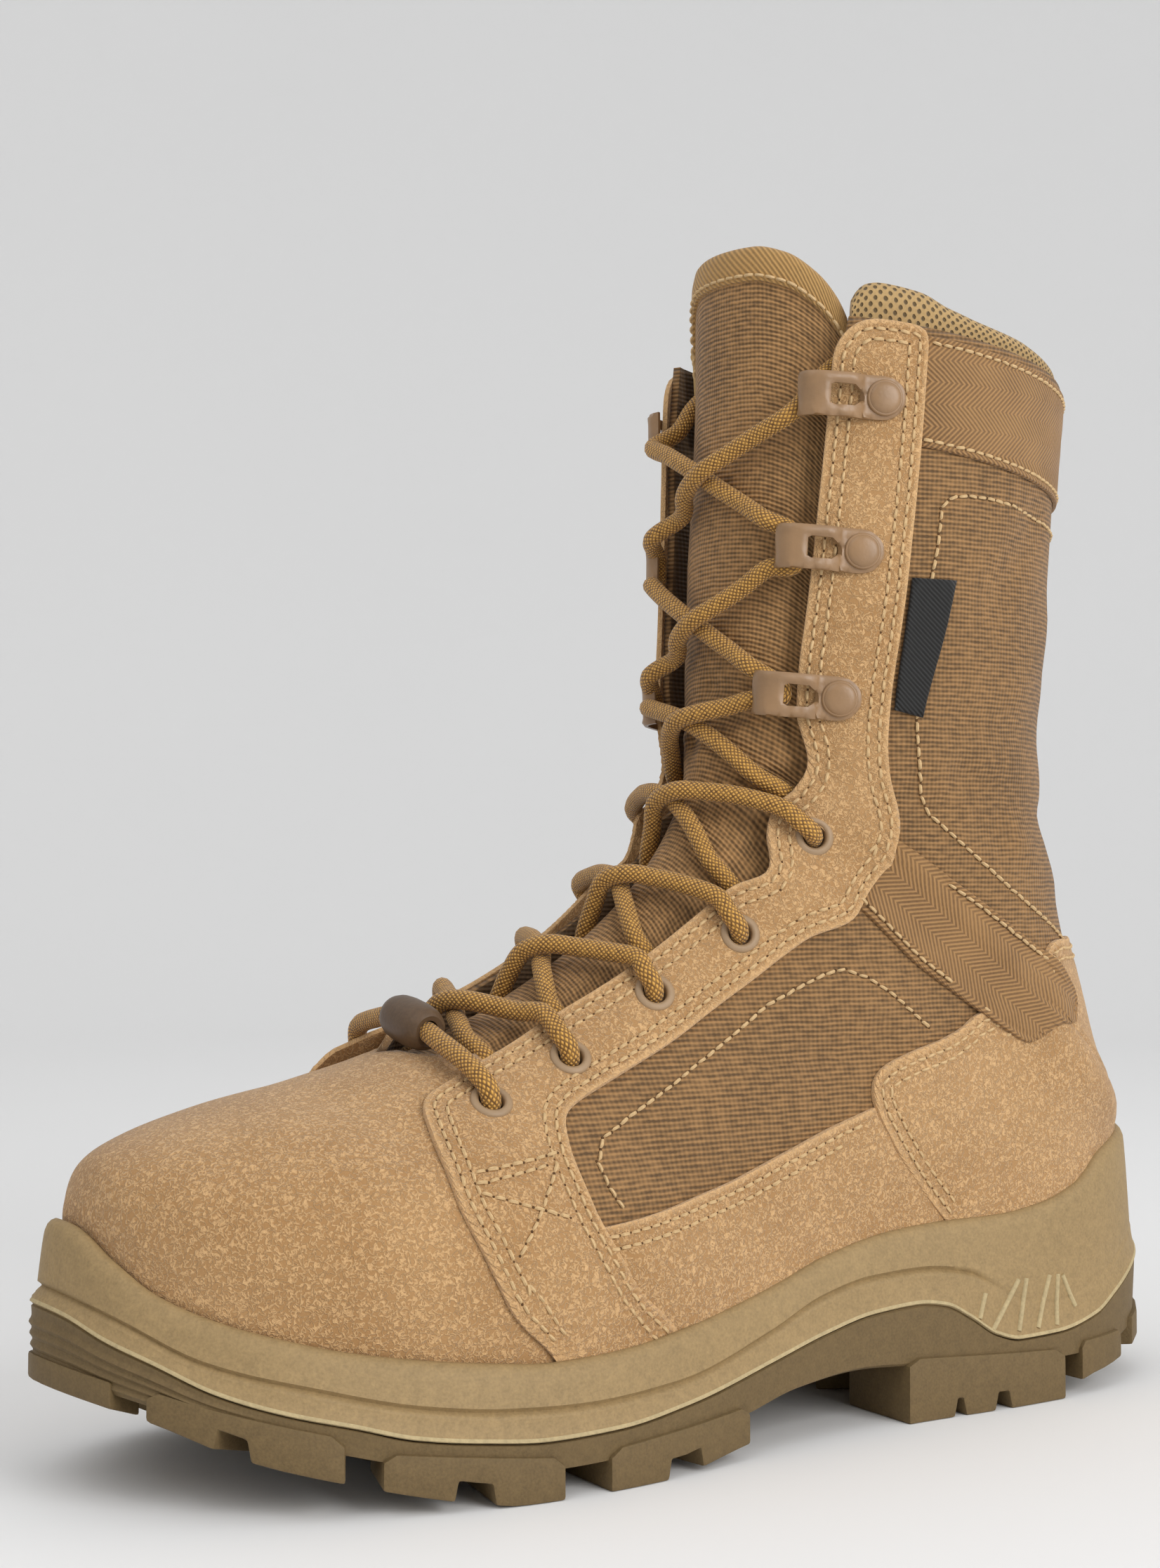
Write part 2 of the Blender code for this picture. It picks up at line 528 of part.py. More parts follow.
def lug_pair(bm, side, pair):
    """Two or three lugs under a raised plate: a notched side view carried inwards from the sole's edge."""
    view = [(0.0, 0)]
    for start, end in pair.notches:
        view += [(start, 0), (start + 0.02, 1), (end - 0.02, 1), (end, 0)]
    view += [(1.0, 0), (1.0, 2), (0.93, 3), (0.07, 3), (0.0, 2)]
    f, kind = np.array(view).T
    first, last = share_at(side, pair.front), share_at(side, pair.rear)
    faces = []
    for out in (LUG_FLARE, SOLE_FLARE - pair.reach):
        plan = outline(side, first + (last - first) * f, np.full(len(f), out))[0]
        plan[:, 0] -= 2.5 * (out < 0)
        ground = level(TREAD_ROLL, plan[:, 0])
        crown = pair.top_front + (pair.top_rear - pair.top_front) * f
        z = np.select([kind == 0, kind == 1, kind == 2], [ground, ground + NOTCH_RISE, crown - 1.8], crown)
        faces.append(np.column_stack([plan, np.minimum(z, level(BED, plan[:, 0]) - 1.5) if out < 0 else z]))
    add_prism(bm, *faces)


def tread(bm, plan, top):
    roll = level(TREAD_ROLL, plan[:, 0])
    add_prism(bm, np.column_stack([plan, roll]), np.column_stack([plan, top(plan[:, 0])]))


def toe_ribs():
    """Level ribs round the toe, one above the other."""
    bm = bmesh.new()
    for depth in TOE_RIBS:
        rows = []
        for side in (1, -1):
            shares = np.linspace(share_at(side, TOE_RIB_END), 0.0, 4)
            flat = outline(side, shares)[0]
            deep = np.array([-0.4, 0.3, 0.6, 0.6]) * TOE_RIB_DEPTH
            buried = np.full(4, 6.6 - 2.4 * depth)
            rows.append([flat[:, 0], outline(side, shares, np.minimum(buried, 5.8))[0],
                         outline(side, shares, SOLE_FLARE + deep)[0]])
        x, inner, outer = (np.concatenate([one, two[-2::-1]]) for one, two in zip(*rows))
        top, tall = level(PARTING, x), level(PARTING, x) - level(TREAD_BASE, x)
        grid = []
        for line, rise in ((inner, -1), (outer, -0.6), (outer, 0.6), (inner, 1)):
            grid.append(points_of(bm, np.column_stack([line, top + tall * (rise * RIB_HALF - depth)])))
        quads(bm, grid + [grid[0]])
        for k in (0, -1):
            bm.faces.new([row[k] for row in grid])
    return add("toe_ribs", bm, None, cutters)


def outsole_body():
    parting = lambda x: level(PARTING, x)
    base = lambda x: level(TREAD_BASE, x)
    loops = [sole_loop(BED_EDGE, lambda x: level(BED, x)), sole_loop(SOLE_FLARE, parting),
             sole_loop(SOLE_FLARE + 0.2, lambda x: parting(x) - 1.0),
             sole_loop(5.6, lambda x: base(x) + 1.0), sole_loop(4.6, base)]
    body = stacked(loops, "outsole", RUBBER)
    boolean(body, "UNION", toe_ribs(), solver="MANIFOLD")
    buried = lambda x: base(x) + 1.5
    lugs = bmesh.new()
    for side in (1, -1):
        for pair in SIDE_LUGS:
            lug_pair(lugs, side, pair)
    for lug in CENTRE_LUGS:
        middle = 0.0 if lug.front < 0 else -1.5
        left, right = middle + lug.half, middle - lug.half
        plan = [(lug.front, middle), (lug.rear + 7, left), (lug.rear, left), (lug.rear + 5, middle),
                (lug.rear, right), (lug.rear + 7, right)]
        tread(lugs, np.array(plan, float), buried)
    for x, top in ((TOE_LUG_X, 1.2), (HEEL_TIP_X, 3.0)):
        sides = []
        for side in (1, -1):
            edge = share_at(side, x)
            tip = 0.0 if x > 0 else 1.0
            shares = np.array([edge + (tip - edge) * f for f in (0.0, 0.5, 1.0)])
            sides.append(outline(side, shares, np.full(3, LUG_FLARE))[0])
        plan = np.concatenate([sides[0], sides[1][1::-1]])
        inner = plan[[-1, 0]].copy()
        inner[:, 0] -= math.copysign(9, x)
        inner[:, 1] *= 0.6
        tread(lugs, np.concatenate([plan, inner]), lambda q, t=top: base(q) + t)
    boolean(body, "UNION", add("lugs", lugs, None, cutters), solver="MANIFOLD")
    return body


def insole_body():
    floor = lambda x: level(CUP_FLOOR, x)
    loops = [sole_loop(-INSOLE_INSET, lambda x: floor(x) + SEAT_GAP),
             sole_loop(-INSOLE_INSET, lambda x: floor(x) + INSOLE_THICK)]
    return stacked(loops, "insole", FOOTBED)


def tongue_rows(shares, depths, lift):
    """Rows of tongue points, by share across (-1 to 1) and by depth below the top edge (0 to 1)."""
    rows = []
    for depth in depths:
        top = np.interp(np.abs(shares), *np.array(TONGUE_TOP).T)
        station = TONGUE_BOTTOM + (top - TONGUE_BOTTOM) * (1 - depth)
        around = shares * np.interp(station, *np.array(TONGUE_HALF).T)
        edge = np.interp(station, *np.array(THROAT).T) - 0.035
        under = np.clip((np.abs(around) - edge + 0.03) / 0.03, 0, 1)
        under = np.maximum(under, np.clip((7.4 - station) / 0.7, 0, 1))
        free = np.clip((station - 20.0) / 0.45, 0, 1)
        drop = TONGUE_DROP + (TONGUE_UNDER - TONGUE_DROP) * under * (1 - free)
        rows.append(raised(station, around, lift - drop))
    return rows


def tongue_body():
    shares = np.array([-1, -0.9, -0.76, -0.55, -0.28, 0, 0.28, 0.55, 0.76, 0.9, 1])
    bm = bmesh.new()
    quads(bm, [points_of(bm, row) for row in tongue_rows(shares, np.linspace(1, 0, 18), 0.0)])
    body = add("tongue", bm, NYLON)
    face_up(body, (1, 0, 1))
    solidify(body, TONGUE_THICK, -1)
    bm = bmesh.new()
    shares = shares[1:-1]
    quads(bm, [points_of(bm, row) for row in tongue_rows(shares, (0.036, 0.018, 0.002), OVERLAY_GAP)])
    tape = add("tongue_binding", bm, BINDING)
    face_up(tape, (1, 0, 0))
    solidify(tape, 1.0, 1)
    return body


def face_up(obj, outward):
    """Turns an open patch so that its faces look along the given direction at its first face."""
    if obj.data.polygons[0].normal.dot(Vector(outward)) < 0:
        obj.data.flip_normals()


def panel(name, border, side, finish, thick, pitch, step=9.0, mirrored=False):
    """An overlay cut from the upper's surface: a border in station and around, filled with triangles.
    Pitch is the distance between sections there."""
    scale = np.array([pitch, 150.0])
    border = np.asarray(border, float) * scale
    ring = []
    for a, b in zip(border, np.roll(border, -1, axis=0)):
        parts = max(1, int(round(np.linalg.norm(b - a) / step)))
        ring += [a + (b - a) * k / parts for k in range(parts)]
    ring = np.array(ring)
    low, high = ring.min(0), ring.max(0)
    edges = [(k, (k + 1) % len(ring)) for k in range(len(ring))]
    inside = []
    for row, p in enumerate(np.arange(low[0] + step / 2, high[0], step)):
        for q in np.arange(low[1] + (step / 2 if row % 2 else 0), high[1], step):
            spot = np.array([p, q])
            gap = min(distance(spot, ring[a], ring[b]) for a, b in edges)
            if gap > 0.4 * step and winding(spot, ring):
                inside.append(spot)
    everything = [Vector(point) for point in np.concatenate([ring, np.array(inside).reshape(-1, 2)])]
    flat, _, faces = delaunay_2d_cdt(everything, edges, [], 1, 1e-6)[:3]
    bm = bmesh.new()
    for half in ((1, -1) if mirrored else (side,)):
        where = np.array([tuple(point) for point in flat]) / scale
        spots = points_of(bm, raised(where[:, 0], half * where[:, 1], OVERLAY_GAP))
        for corners in faces:
            bm.faces.new([spots[k] for k in (corners if half > 0 else corners[::-1])])
    bmesh.ops.remove_doubles(bm, verts=bm.verts, dist=0.00002)
    obj = add(name, bm, finish)
    middle = obj.data.polygons[0].center / MM
    nearest = skin(np.array([point[0] for point in where]), (side or 1) * where[:, 1])
    k = int(np.argmin(np.linalg.norm(nearest - np.array(middle), axis=1)))
    face_up(obj, skin_normal(where[k, 0], (side or 1) * where[k, 1])[0])
    return solidify(obj, thick, 1)


def distance(spot, a, b):
    f = np.clip(np.dot(spot - a, b - a) / max(np.dot(b - a, b - a), 1e-12), 0, 1)
    return np.linalg.norm(spot - a - (b - a) * f)


def winding(spot, ring):
    odd = False
    for a, b in zip(ring, np.roll(ring, -1, axis=0)):
        if (a[1] > spot[1]) != (b[1] > spot[1]):
            odd ^= spot[0] < a[0] + (spot[1] - a[1]) * (b[0] - a[0]) / (b[1] - a[1])
    return odd


def along_rim(first, last, count, side):
    """Border points just above the sole's rim."""
    return [(s, around_at_rim(s, side, 0.5)) for s in np.linspace(first, last, count)]


def overlays():
    for side, name in ((1, "lateral"), (-1, "medial")):
        facing = FACING_FRONT + along_rim(*FACING_FOOT, 5, side) + FACING_REAR
        panel("eyestay_" + name, facing, side, SUEDE, OVERLAY_THICK, 18.0, 11.0)
        band = BAND_TOP + BAND_FRONT + along_rim(7.28, 10.99, 9, side) + BAND_REAR
        panel("band_" + name, band, side, SUEDE, OVERLAY_THICK, 18.0)
        panel("strap_" + name, STRAP, side, WEBBING, WEBBING_THICK, 34.0, 8.0)
    seam = [(s, 1.0) for s in np.linspace(COUNTER_SEAM[1], COUNTER_SEAM[0] + 0.12, 6)]
    counter = COUNTER_FRONT + seam + along_rim(13.9, 11.07, 18, 1)
    panel("heel_counter", counter, 0, SUEDE, OVERLAY_THICK, 40.0, 8.2, True)
    cuff = [(CUFF_LOW, CUFF_FRONT), (CUFF_HIGH, CUFF_FRONT), (CUFF_HIGH, 1.0), (CUFF_LOW, 1.0)]
    panel("cuff", cuff, 0, WEBBING, WEBBING_THICK, 20.0, mirrored=True)
    panel("side_tag", TAG, 1, LABEL, 0.8, 25.0)


def collar_padding():
    """A soft roll inside the upper's top edge that rises above it towards the front."""
    around = np.concatenate([np.linspace(0.355, 1.0, 12), -np.linspace(1.0, 0.355, 12)[1:]])
    rise = np.interp(np.abs(around), *np.array(COLLAR_RISE).T)
    profile = [(-2.5, 20.35, 0), (-2.5, 21.02, 0), (-1.6, 21.02, 0.5), (-2.6, 21, 1), (-5.0, 21.02, 1),
               (-7.2, 20.93, 1), (-7.6, 20.6, 0), (-5.5, 20.35, 0)]
    bm = bmesh.new()
    grid = []
    for out, station, share in profile:
        ring = raised(np.full(len(around), station), around, np.full(len(around), out))
        ring[:, 2] += rise * share
        grid.append(points_of(bm, ring))
    quads(bm, grid + [grid[0]])
    for k in (0, -1):
        bm.faces.new([row[k] for row in grid])
    return add("collar_pad", bm, MESH)


def placed(obj, origin, z_axis, x_axis):
    """Puts an object at a point in millimetres with its Z and X along the given directions."""
    z = Vector(z_axis).normalized()
    x = Vector(x_axis)
    x = (x - z * x.dot(z)).normalized()
    y = z.cross(x)
    obj.matrix_world = Matrix.Translation(Vector(origin) * MM) @ Matrix((x, y, z)).transposed().to_4x4()
    return obj


def turned(profile, steps, closed):
    """A mesh turned about Z from a profile of radius and height."""
    bm = bmesh.new()
    spots = points_of(bm, [(r, 0, z) for r, z in profile])
    for a, b in zip(spots, spots[1:] + (spots[:1] if closed else [])):
        bm.edges.new((a, b))
    obj = add("turned_profile", bm, None, cutters)
    turn = obj.modifiers.new("turn", "SCREW")
    turn.steps = turn.render_steps = steps
    turn.use_merge_vertices, turn.merge_threshold = True, 0.00005
    mesh = evaluated(obj)
    bpy.data.objects.remove(obj, do_unlink=True)
    bm = bmesh.new()
    bm.from_mesh(mesh)
    bmesh.ops.remove_doubles(bm, verts=bm.verts, dist=0.00001)
    bmesh.ops.recalc_face_normals(bm, faces=bm.faces)
    bm.to_mesh(mesh)
    bm.free()
    return mesh


def eyelet_mesh():
    top = EYELET_FLANGE_HEIGHT
    deep = -(SEAT_GAP + OVERLAY_GAP + OVERLAY_THICK + UPPER_WALL) + 0.2
    hole, barrel, flange = EYELET_HOLE_RADIUS, EYELET_BARREL_RADIUS, EYELET_FLANGE_RADIUS
    profile = [(hole, top), (flange - 0.7, top), (flange, 0.0), (barrel, 0.0), (barrel, deep), (hole, deep)]
    return turned(profile, 8, True)


def eyelets():
    """Turned rings, and the holes for them through facing and upper."""
    mesh = eyelet_mesh()
    drills = bmesh.new()
    for side, name in ((1, "lateral"), (-1, "medial")):
        for number, (station, around) in enumerate(EYELETS, 1):
            up = skin_normal(station, side * around)[0]
            seat = raised(station, side * around, EYELET_GAP + OVERLAY_GAP + OVERLAY_THICK)[0]
            along = skin(station + 0.1, side * around)[0] - skin(station, side * around)[0]
            eyelet = link("eyelet_%s_%d" % (name, number), mesh.copy(), PAINTED)
            placed(eyelet, seat, up, along)
            turn = eyelet.matrix_world
            wide = (EYELET_BARREL_RADIUS + 0.5) * MM
            bmesh.ops.create_cone(drills, cap_ends=True, segments=8, radius1=wide, radius2=wide,
                                  depth=16 * MM, matrix=turn)
    drill = add("eyelet_drills", drills, None, cutters)
    for name in ("upper", "eyestay_lateral", "eyestay_medial"):
        boolean(bpy.data.objects[name], "DIFFERENCE", drill, keep=True)


def hook_mesh():
    """A strip bent up to a loop, with a slot, and a domed rivet at its rear."""
    path = [(-5.0, 0.0), (4.6, 0.0), (8.2, 2.0), (15.5, 2.2), (18.6, 1.0), (19.6, -2.2)]
    above = [(-5.0, HOOK_SHEET), (4.2, HOOK_SHEET), (7.8, 3.4), (15.8, 3.6), (19.6, 1.9), (21.0, -2.0)]
    bm = bmesh.new()
    outline_xz = path + above[::-1]
    half = HOOK_HEIGHT / 2
    add_prism(bm, [(x, -half, z) for x, z in outline_xz], [(x, half, z) for x, z in outline_xz])
    strip = add("hook_strip", bm, None, cutters)
    bm = bmesh.new()
    bmesh.ops.create_cube(bm, size=1.0, matrix=Matrix.Translation(Vector((10.8, 0, 3)) * MM)
                          @ Matrix.Diagonal((4.6 * MM, 4.8 * MM, 9 * MM, 1)))
    boolean(strip, "DIFFERENCE", add("hook_slot", bm, None, cutters))
    rivet = [(0.0, 3.4), (3.0, 2.9), (HOOK_RIVET_RADIUS, 1.6), (HOOK_RIVET_RADIUS, 0.5), (0.0, 0.5)]
    dome = link("hook_dome", turned(rivet, 8, False), None, cutters)
    boolean(strip, "UNION", dome)
    mesh = strip.data
    bpy.data.objects.remove(strip, do_unlink=True)
    return mesh


def hooks():
    mesh = hook_mesh()
    for side, name in ((1, "lateral"), (-1, "medial")):
        for number, hook in enumerate(HOOKS, 1):
            up = skin_normal(hook.station, side * hook.around)[0]
            seat = raised(hook.station, side * hook.around, SEAT_GAP + OVERLAY_GAP + OVERLAY_THICK)[0]
            forward = skin(hook.front_station, side * hook.front_around)[0] - seat
            placed(link("hook_%s_%d" % (name, number), mesh.copy(), PAINTED), seat, up, forward)


def tube(name, points, radius):
    """A cord through the points as a closed mesh."""
    curve = bpy.data.curves.new(name, "CURVE")
    curve.dimensions = "3D"
    curve.bevel_depth = radius * MM
    curve.bevel_resolution = 1
    curve.use_fill_caps = True
    spline = curve.splines.new("POLY")
    spline.points.add(len(points) - 1)
    for spot, point in zip(spline.points, points):
        spot.co = (*(Vector(point) * MM), 1)
    obj = bpy.data.objects.new(name, curve)
    cutters.objects.link(obj)
    mesh = evaluated(obj)
    bpy.data.objects.remove(obj, do_unlink=True)
    bm = bmesh.new()
    bm.from_mesh(mesh)
    bpy.data.meshes.remove(mesh)
    bmesh.ops.remove_doubles(bm, verts=bm.verts, dist=0.00001)
    return bm


# Lace rows up the boot: where the lace leaves under the facing, and where it enters from the outside
LaceRow = namedtuple("LaceRow", "out_station out_around in_station in_around in_lift")
ON_EYELET = EYELET_GAP + OVERLAY_GAP + OVERLAY_THICK + EYELET_FLANGE_HEIGHT + 0.6 + LACE_RADIUS
ON_TONGUE = LACE_RADIUS + 0.4 - TONGUE_DROP + 0.4
LACE_ROWS = [
    LaceRow(6.95, 0.10, 6.46, 0.269, ON_EYELET), LaceRow(7.95, 0.14, 7.58, 0.267, ON_EYELET),
    LaceRow(9.4, 0.155, 9.0, 0.267, ON_EYELET), LaceRow(11.2, 0.18, 10.55, 0.303, ON_EYELET),
    LaceRow(13.9, 0.185, 13.14, 0.321, ON_EYELET), LaceRow(16.9, 0.165, 16.2, 0.175, 2.6),
    LaceRow(18.8, 0.185, 18.3, 0.195, 2.6), LaceRow(20.3, 0.2, 19.8, 0.225, 2.6),
]


def lace_strand(lower, upper, side, over):
    """Points from one side's lower row up to the other side's next row."""
    f = np.linspace(0, 1, 7)
    station = lower.out_station + (upper.in_station - lower.out_station) * f
    around = side * (lower.out_around + (-upper.in_around - lower.out_around) * f)
    crossing = np.exp(-((around / 0.075) ** 2)) * (3.0 if over else 0.0)
    climb = np.clip((f - 0.5) / 0.34, 0, 1) * (upper.in_lift - ON_TONGUE)
    return raised(station, around, ON_TONGUE + crossing + climb)


def laces():
    first = LACE_ROWS[0]
    around = first.in_around * np.array([-1, -0.82, -0.58, -0.32, 0.32, 0.58, 0.82, 1])
    bar = raised(np.full(8, first.in_station), around, np.full(8, ON_EYELET + 0.2))
    add("lace_bar", tube("lace_bar", bar, LACE_RADIUS), CORD)
    for number, (lower, upper) in enumerate(zip(LACE_ROWS, LACE_ROWS[1:]), 1):
        over = number % 2 == 0
        first_cord = tube("strand", lace_strand(lower, upper, 1, over), LACE_RADIUS)
        second_cord = tube("strand", lace_strand(lower, upper, -1, not over), LACE_RADIUS)
        crossing = add("lace_cross_%d" % number, first_cord, CORD)
        boolean(crossing, "UNION", add("strand", second_cord, None, cutters))
    middle = (bar[3] + bar[4]) / 2
    bore, end = LACE_RADIUS + SEAT_GAP + 0.3, KEEPER_LENGTH / 2
    bead = turned([(bore, end), (KEEPER_RADIUS, end), (KEEPER_RADIUS, -end), (bore, -end)], 10, True)
    keeper = link("lace_keeper", bead, LABEL)
    placed(keeper, middle, bar[4] - bar[3], (0, 0, 1))


upper_wall()
midsole_body()
outsole_body()
insole_body()
tongue_body()
overlays()
collar_padding()
eyelets()
hooks()
laces()
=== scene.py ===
"""Looks of a left lace-up tactical boot, laid out as an add-on and run as a script.

Lengths in the code are millimetres and become metres when a mesh is made. +X points to the toe, +Y to the
outer (lateral) side and +Z up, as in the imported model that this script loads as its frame.
"""

import math
from collections import namedtuple
from functools import partial

import bmesh
import bpy
import numpy as np
from bpy.props import FloatProperty, FloatVectorProperty, IntProperty, PointerProperty
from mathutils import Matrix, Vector
from mathutils.geometry import delaunay_2d_cdt
from numpy.linalg import norm


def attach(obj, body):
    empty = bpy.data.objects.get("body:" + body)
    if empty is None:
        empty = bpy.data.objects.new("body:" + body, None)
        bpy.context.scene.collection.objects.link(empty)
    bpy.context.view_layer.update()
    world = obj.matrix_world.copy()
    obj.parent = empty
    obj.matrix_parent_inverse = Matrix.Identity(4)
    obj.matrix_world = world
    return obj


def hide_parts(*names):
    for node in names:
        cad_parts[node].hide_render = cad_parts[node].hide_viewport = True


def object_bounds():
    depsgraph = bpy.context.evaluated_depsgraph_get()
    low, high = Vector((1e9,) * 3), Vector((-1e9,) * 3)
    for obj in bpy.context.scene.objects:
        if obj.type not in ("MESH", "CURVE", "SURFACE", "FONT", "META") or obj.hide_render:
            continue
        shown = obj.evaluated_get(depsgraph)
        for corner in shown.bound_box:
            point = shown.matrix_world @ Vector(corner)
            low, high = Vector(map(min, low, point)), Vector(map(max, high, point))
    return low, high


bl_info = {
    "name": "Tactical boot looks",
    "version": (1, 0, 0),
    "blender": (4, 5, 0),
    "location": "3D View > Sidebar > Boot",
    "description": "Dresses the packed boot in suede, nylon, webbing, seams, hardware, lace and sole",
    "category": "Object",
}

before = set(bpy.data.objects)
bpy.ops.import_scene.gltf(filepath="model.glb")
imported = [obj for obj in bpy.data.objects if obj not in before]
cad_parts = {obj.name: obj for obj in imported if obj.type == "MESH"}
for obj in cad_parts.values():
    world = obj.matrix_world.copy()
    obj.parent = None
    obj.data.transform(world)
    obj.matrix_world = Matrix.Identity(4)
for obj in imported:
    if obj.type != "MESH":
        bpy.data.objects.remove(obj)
CAD_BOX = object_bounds()
MM = 0.001
BODY = "root"
SIDES = ((1, "lateral"), (-1, "medial"))

# Sizes of the pieces underneath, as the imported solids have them
UPPER_WALL = 2.0
TONGUE_THICK = 4.0
TONGUE_DROP = 0.6
TONGUE_UNDER = 3.2
INSOLE_THICK = 4.0
INSOLE_INSET = 2.6
RIM_TUCK = 1.5
SOLE_FLARE = 6.2
BED_EDGE = 1.5
LUG_FLARE = 7.0
TOE_RIBS = (0.28, 0.46, 0.64, 0.82)

# The outline where upper and sole meet, from the toe tip to the heel back: x, y
OUTLINE = {
    1: [(145, -8), (137, 15.5), (119, 34), (92, 45), (62, 50), (30, 48), (-5, 41), (-45, 36.5),
        (-85, 36.5), (-115, 33), (-136, 21), (-146, 0)],
    -1: [(145, -8), (141, -21), (125, -37), (100, -48), (68, -50), (35, -43.5), (-5, -34), (-45, -31.5),
         (-85, -34), (-115, -32), (-136, -20.5), (-146, 0)],
}

# Heights along the boot: x, z
RIM = [(-152, 66), (-140, 65), (-119, 60), (-108, 53), (-95, 49), (-80, 47.2), (-60, 46.8), (-45, 45.8),
       (-24, 42.2), (-3, 36.2), (24, 31), (44, 28.6), (60, 28), (75, 29.2), (90, 31), (105, 33.5),
       (116, 36.3), (126, 39.5), (136, 45), (141, 51), (145, 57.5), (152, 60)]
STEP_LINE = [(-152, 44), (-130, 37), (-112, 28), (-95, 24), (-84, 26), (-76, 30), (-68, 34), (-52, 36),
             (-35, 35.5), (-18, 32.6), (-2, 27), (30, 19.8), (53, 18.5), (72, 19.2), (90, 21.3), (110, 26),
             (128, 31.5), (140, 39.7), (152, 48)]
PARTING = [(-152, 36), (-135, 31), (-118, 23.3), (-110, 19.3), (-96, 16.5), (-83, 16.2), (-75, 18.2),
           (-67, 22.9), (-59, 26.7), (-50, 27.9), (-35, 27.2), (-18, 24.3), (-2, 20.6), (27, 15),
           (46, 12.6), (63, 12.2), (78, 13.4), (92, 15.3), (103, 18.3), (115, 21.4), (126, 25.6),
           (134, 30.7), (140, 34.7), (144, 38.6), (152, 43)]
CUP_FLOOR = [(-152, 33), (-110, 31.5), (-60, 31), (-30, 29), (0, 24.5), (30, 19.5), (55, 18), (80, 19),
             (110, 25), (130, 31), (152, 38)]
BED = [(-152, 20), (-118, 18), (-96, 15.8), (-83, 15.6), (-75, 17.3), (-59, 24), (-40, 25), (-18, 23),
       (-2, 19.8), (27, 14.5), (46, 12.2), (63, 11.8), (92, 14.6), (115, 19.5), (126, 23.5), (140, 28),
       (152, 31.5)]
TREAD_BASE = [(-152, 16), (-130, 12.5), (-110, 10), (-70, 10), (-46, 13.5), (-30, 14.5), (-10, 13),
              (8, 9.5), (30, 7), (60, 6), (85, 8.5), (105, 13), (126, 19), (140, 24), (152, 28)]
TREAD_ROLL = [(-152, 12), (-118, 6), (-104, 3.4), (-101, 0), (-45, 0), (-30, 4), (0, 4.2), (8, 3.4),
              (15, 2.4), (24, 0.9), (30, 0), (70, 0), (76, 0.7), (90, 3.4), (105, 7), (126, 13), (141, 20),
              (152, 23.5)]
BACK_SEAM = [(66, -146), (74, -141), (92, -134.5), (115, -126.5), (138, -121), (160, -118.5), (190, -119.5),
             (215, -121.5), (240, -123.5), (258, -125.5), (280, -127)]

# Sections of the upper. Each runs from its point on the front line round to its end: on the sole's
# outline (end is the share of the way from toe tip to heel back) or, past the heel row, on the back seam
# (end is the seam's height). Bulge is how far the side stands out past the end, half is the shaft's half
# width, widest is where along the section the widest point lies and full how square the front is.
Foot = namedtuple("Foot", "x y z end bulge widest full")
FOOT_SECTIONS = [
    Foot(145, -8, 57.5, 0.000, 0, 0.80, 0.62), Foot(144, -8, 63.5, 0.030, 0, 0.80, 0.62),
    Foot(140, -8, 70.5, 0.075, 0, 0.80, 0.62), Foot(129, -7.5, 75.8, 0.135, 0, 0.80, 0.62),
    Foot(112, -7, 80.8, 0.210, 0.5, 0.78, 0.60), Foot(94, -6, 85, 0.285, 0.8, 0.78, 0.56),
    Foot(76, -4.5, 90, 0.355, 1, 0.78, 0.52), Foot(57, -3, 97.5, 0.425, 1, 0.78, 0.48),
    Foot(38, -1.5, 108.5, 0.495, 1, 0.78, 0.46), Foot(22, -0.5, 119.5, 0.560, 1, 0.78, 0.46),
    Foot(8, 0, 131.5, 0.630, 1, 0.74, 0.47), Foot(-1, 0, 142, 0.700, 1, 0.68, 0.49),
    Foot(-6.5, 0, 150.5, 0.780, 1.2, 0.62, 0.52), Foot(-10, 0, 157.5, 0.880, 5.5, 0.57, 0.54),
    Foot(-12, 0, 163, 1.000, 38.0, 0.53, 0.55),
]
Shaft = namedtuple("Shaft", "x y z end half widest full")
SHAFT_SECTIONS = [
    Shaft(-13.5, 0, 169, 88, 38.3, 0.52, 0.55), Shaft(-14.7, 0, 176, 115, 39.3, 0.51, 0.55),
    Shaft(-15.7, 0, 186, 145, 40.3, 0.50, 0.55), Shaft(-16.5, 0, 202, 175, 41.5, 0.50, 0.55),
    Shaft(-17, 0, 225, 208, 42.9, 0.50, 0.55), Shaft(-17, 0, 250, 237, 44.1, 0.50, 0.55),
    Shaft(-16, 0, 271, 258, 45, 0.50, 0.55), Shaft(-15.5, 0, 292, 280, 45.5, 0.50, 0.55),
]
HEEL = len(FOOT_SECTIONS) - 1
COLLAR = HEEL + len(SHAFT_SECTIONS) - 1
SPLIT = 0.62
ROUND_REAR = 0.55

# Panel outlines on the upper: station is the section number, around runs from the front line (0) to the
# rim or the back seam (1).
THROAT = [(6.2, 0.0), (6.5, 0.12), (7, 0.175), (8, 0.19), (9, 0.21), (10, 0.235), (11, 0.262), (12, 0.288),
          (13, 0.27), (14, 0.285), (15, 0.31), (16, 0.285), (17, 0.28), (18, 0.29), (19, 0.307),
          (20, 0.322), (21, 0.35)]
FACING_FRONT = [(21.0, 0.38), (20.86, 0.347), (20.6, 0.319), (19.8, 0.307), (18.9, 0.293), (17.1, 0.269),
                (16.1, 0.265), (15.6, 0.284), (15.05, 0.295), (14.3, 0.27), (13.7, 0.245), (12.9, 0.244),
                (12.4, 0.252), (12.1, 0.278), (11.8, 0.287), (11.1, 0.246), (10.1, 0.224), (8.9, 0.202),
                (7.6, 0.182), (6.7, 0.184), (5.9, 0.206), (5.74, 0.225), (5.53, 0.317), (5.34, 0.445),
                (5.39, 0.577), (5.6, 0.784)]
FACING_FOOT = (5.79, 7.21)
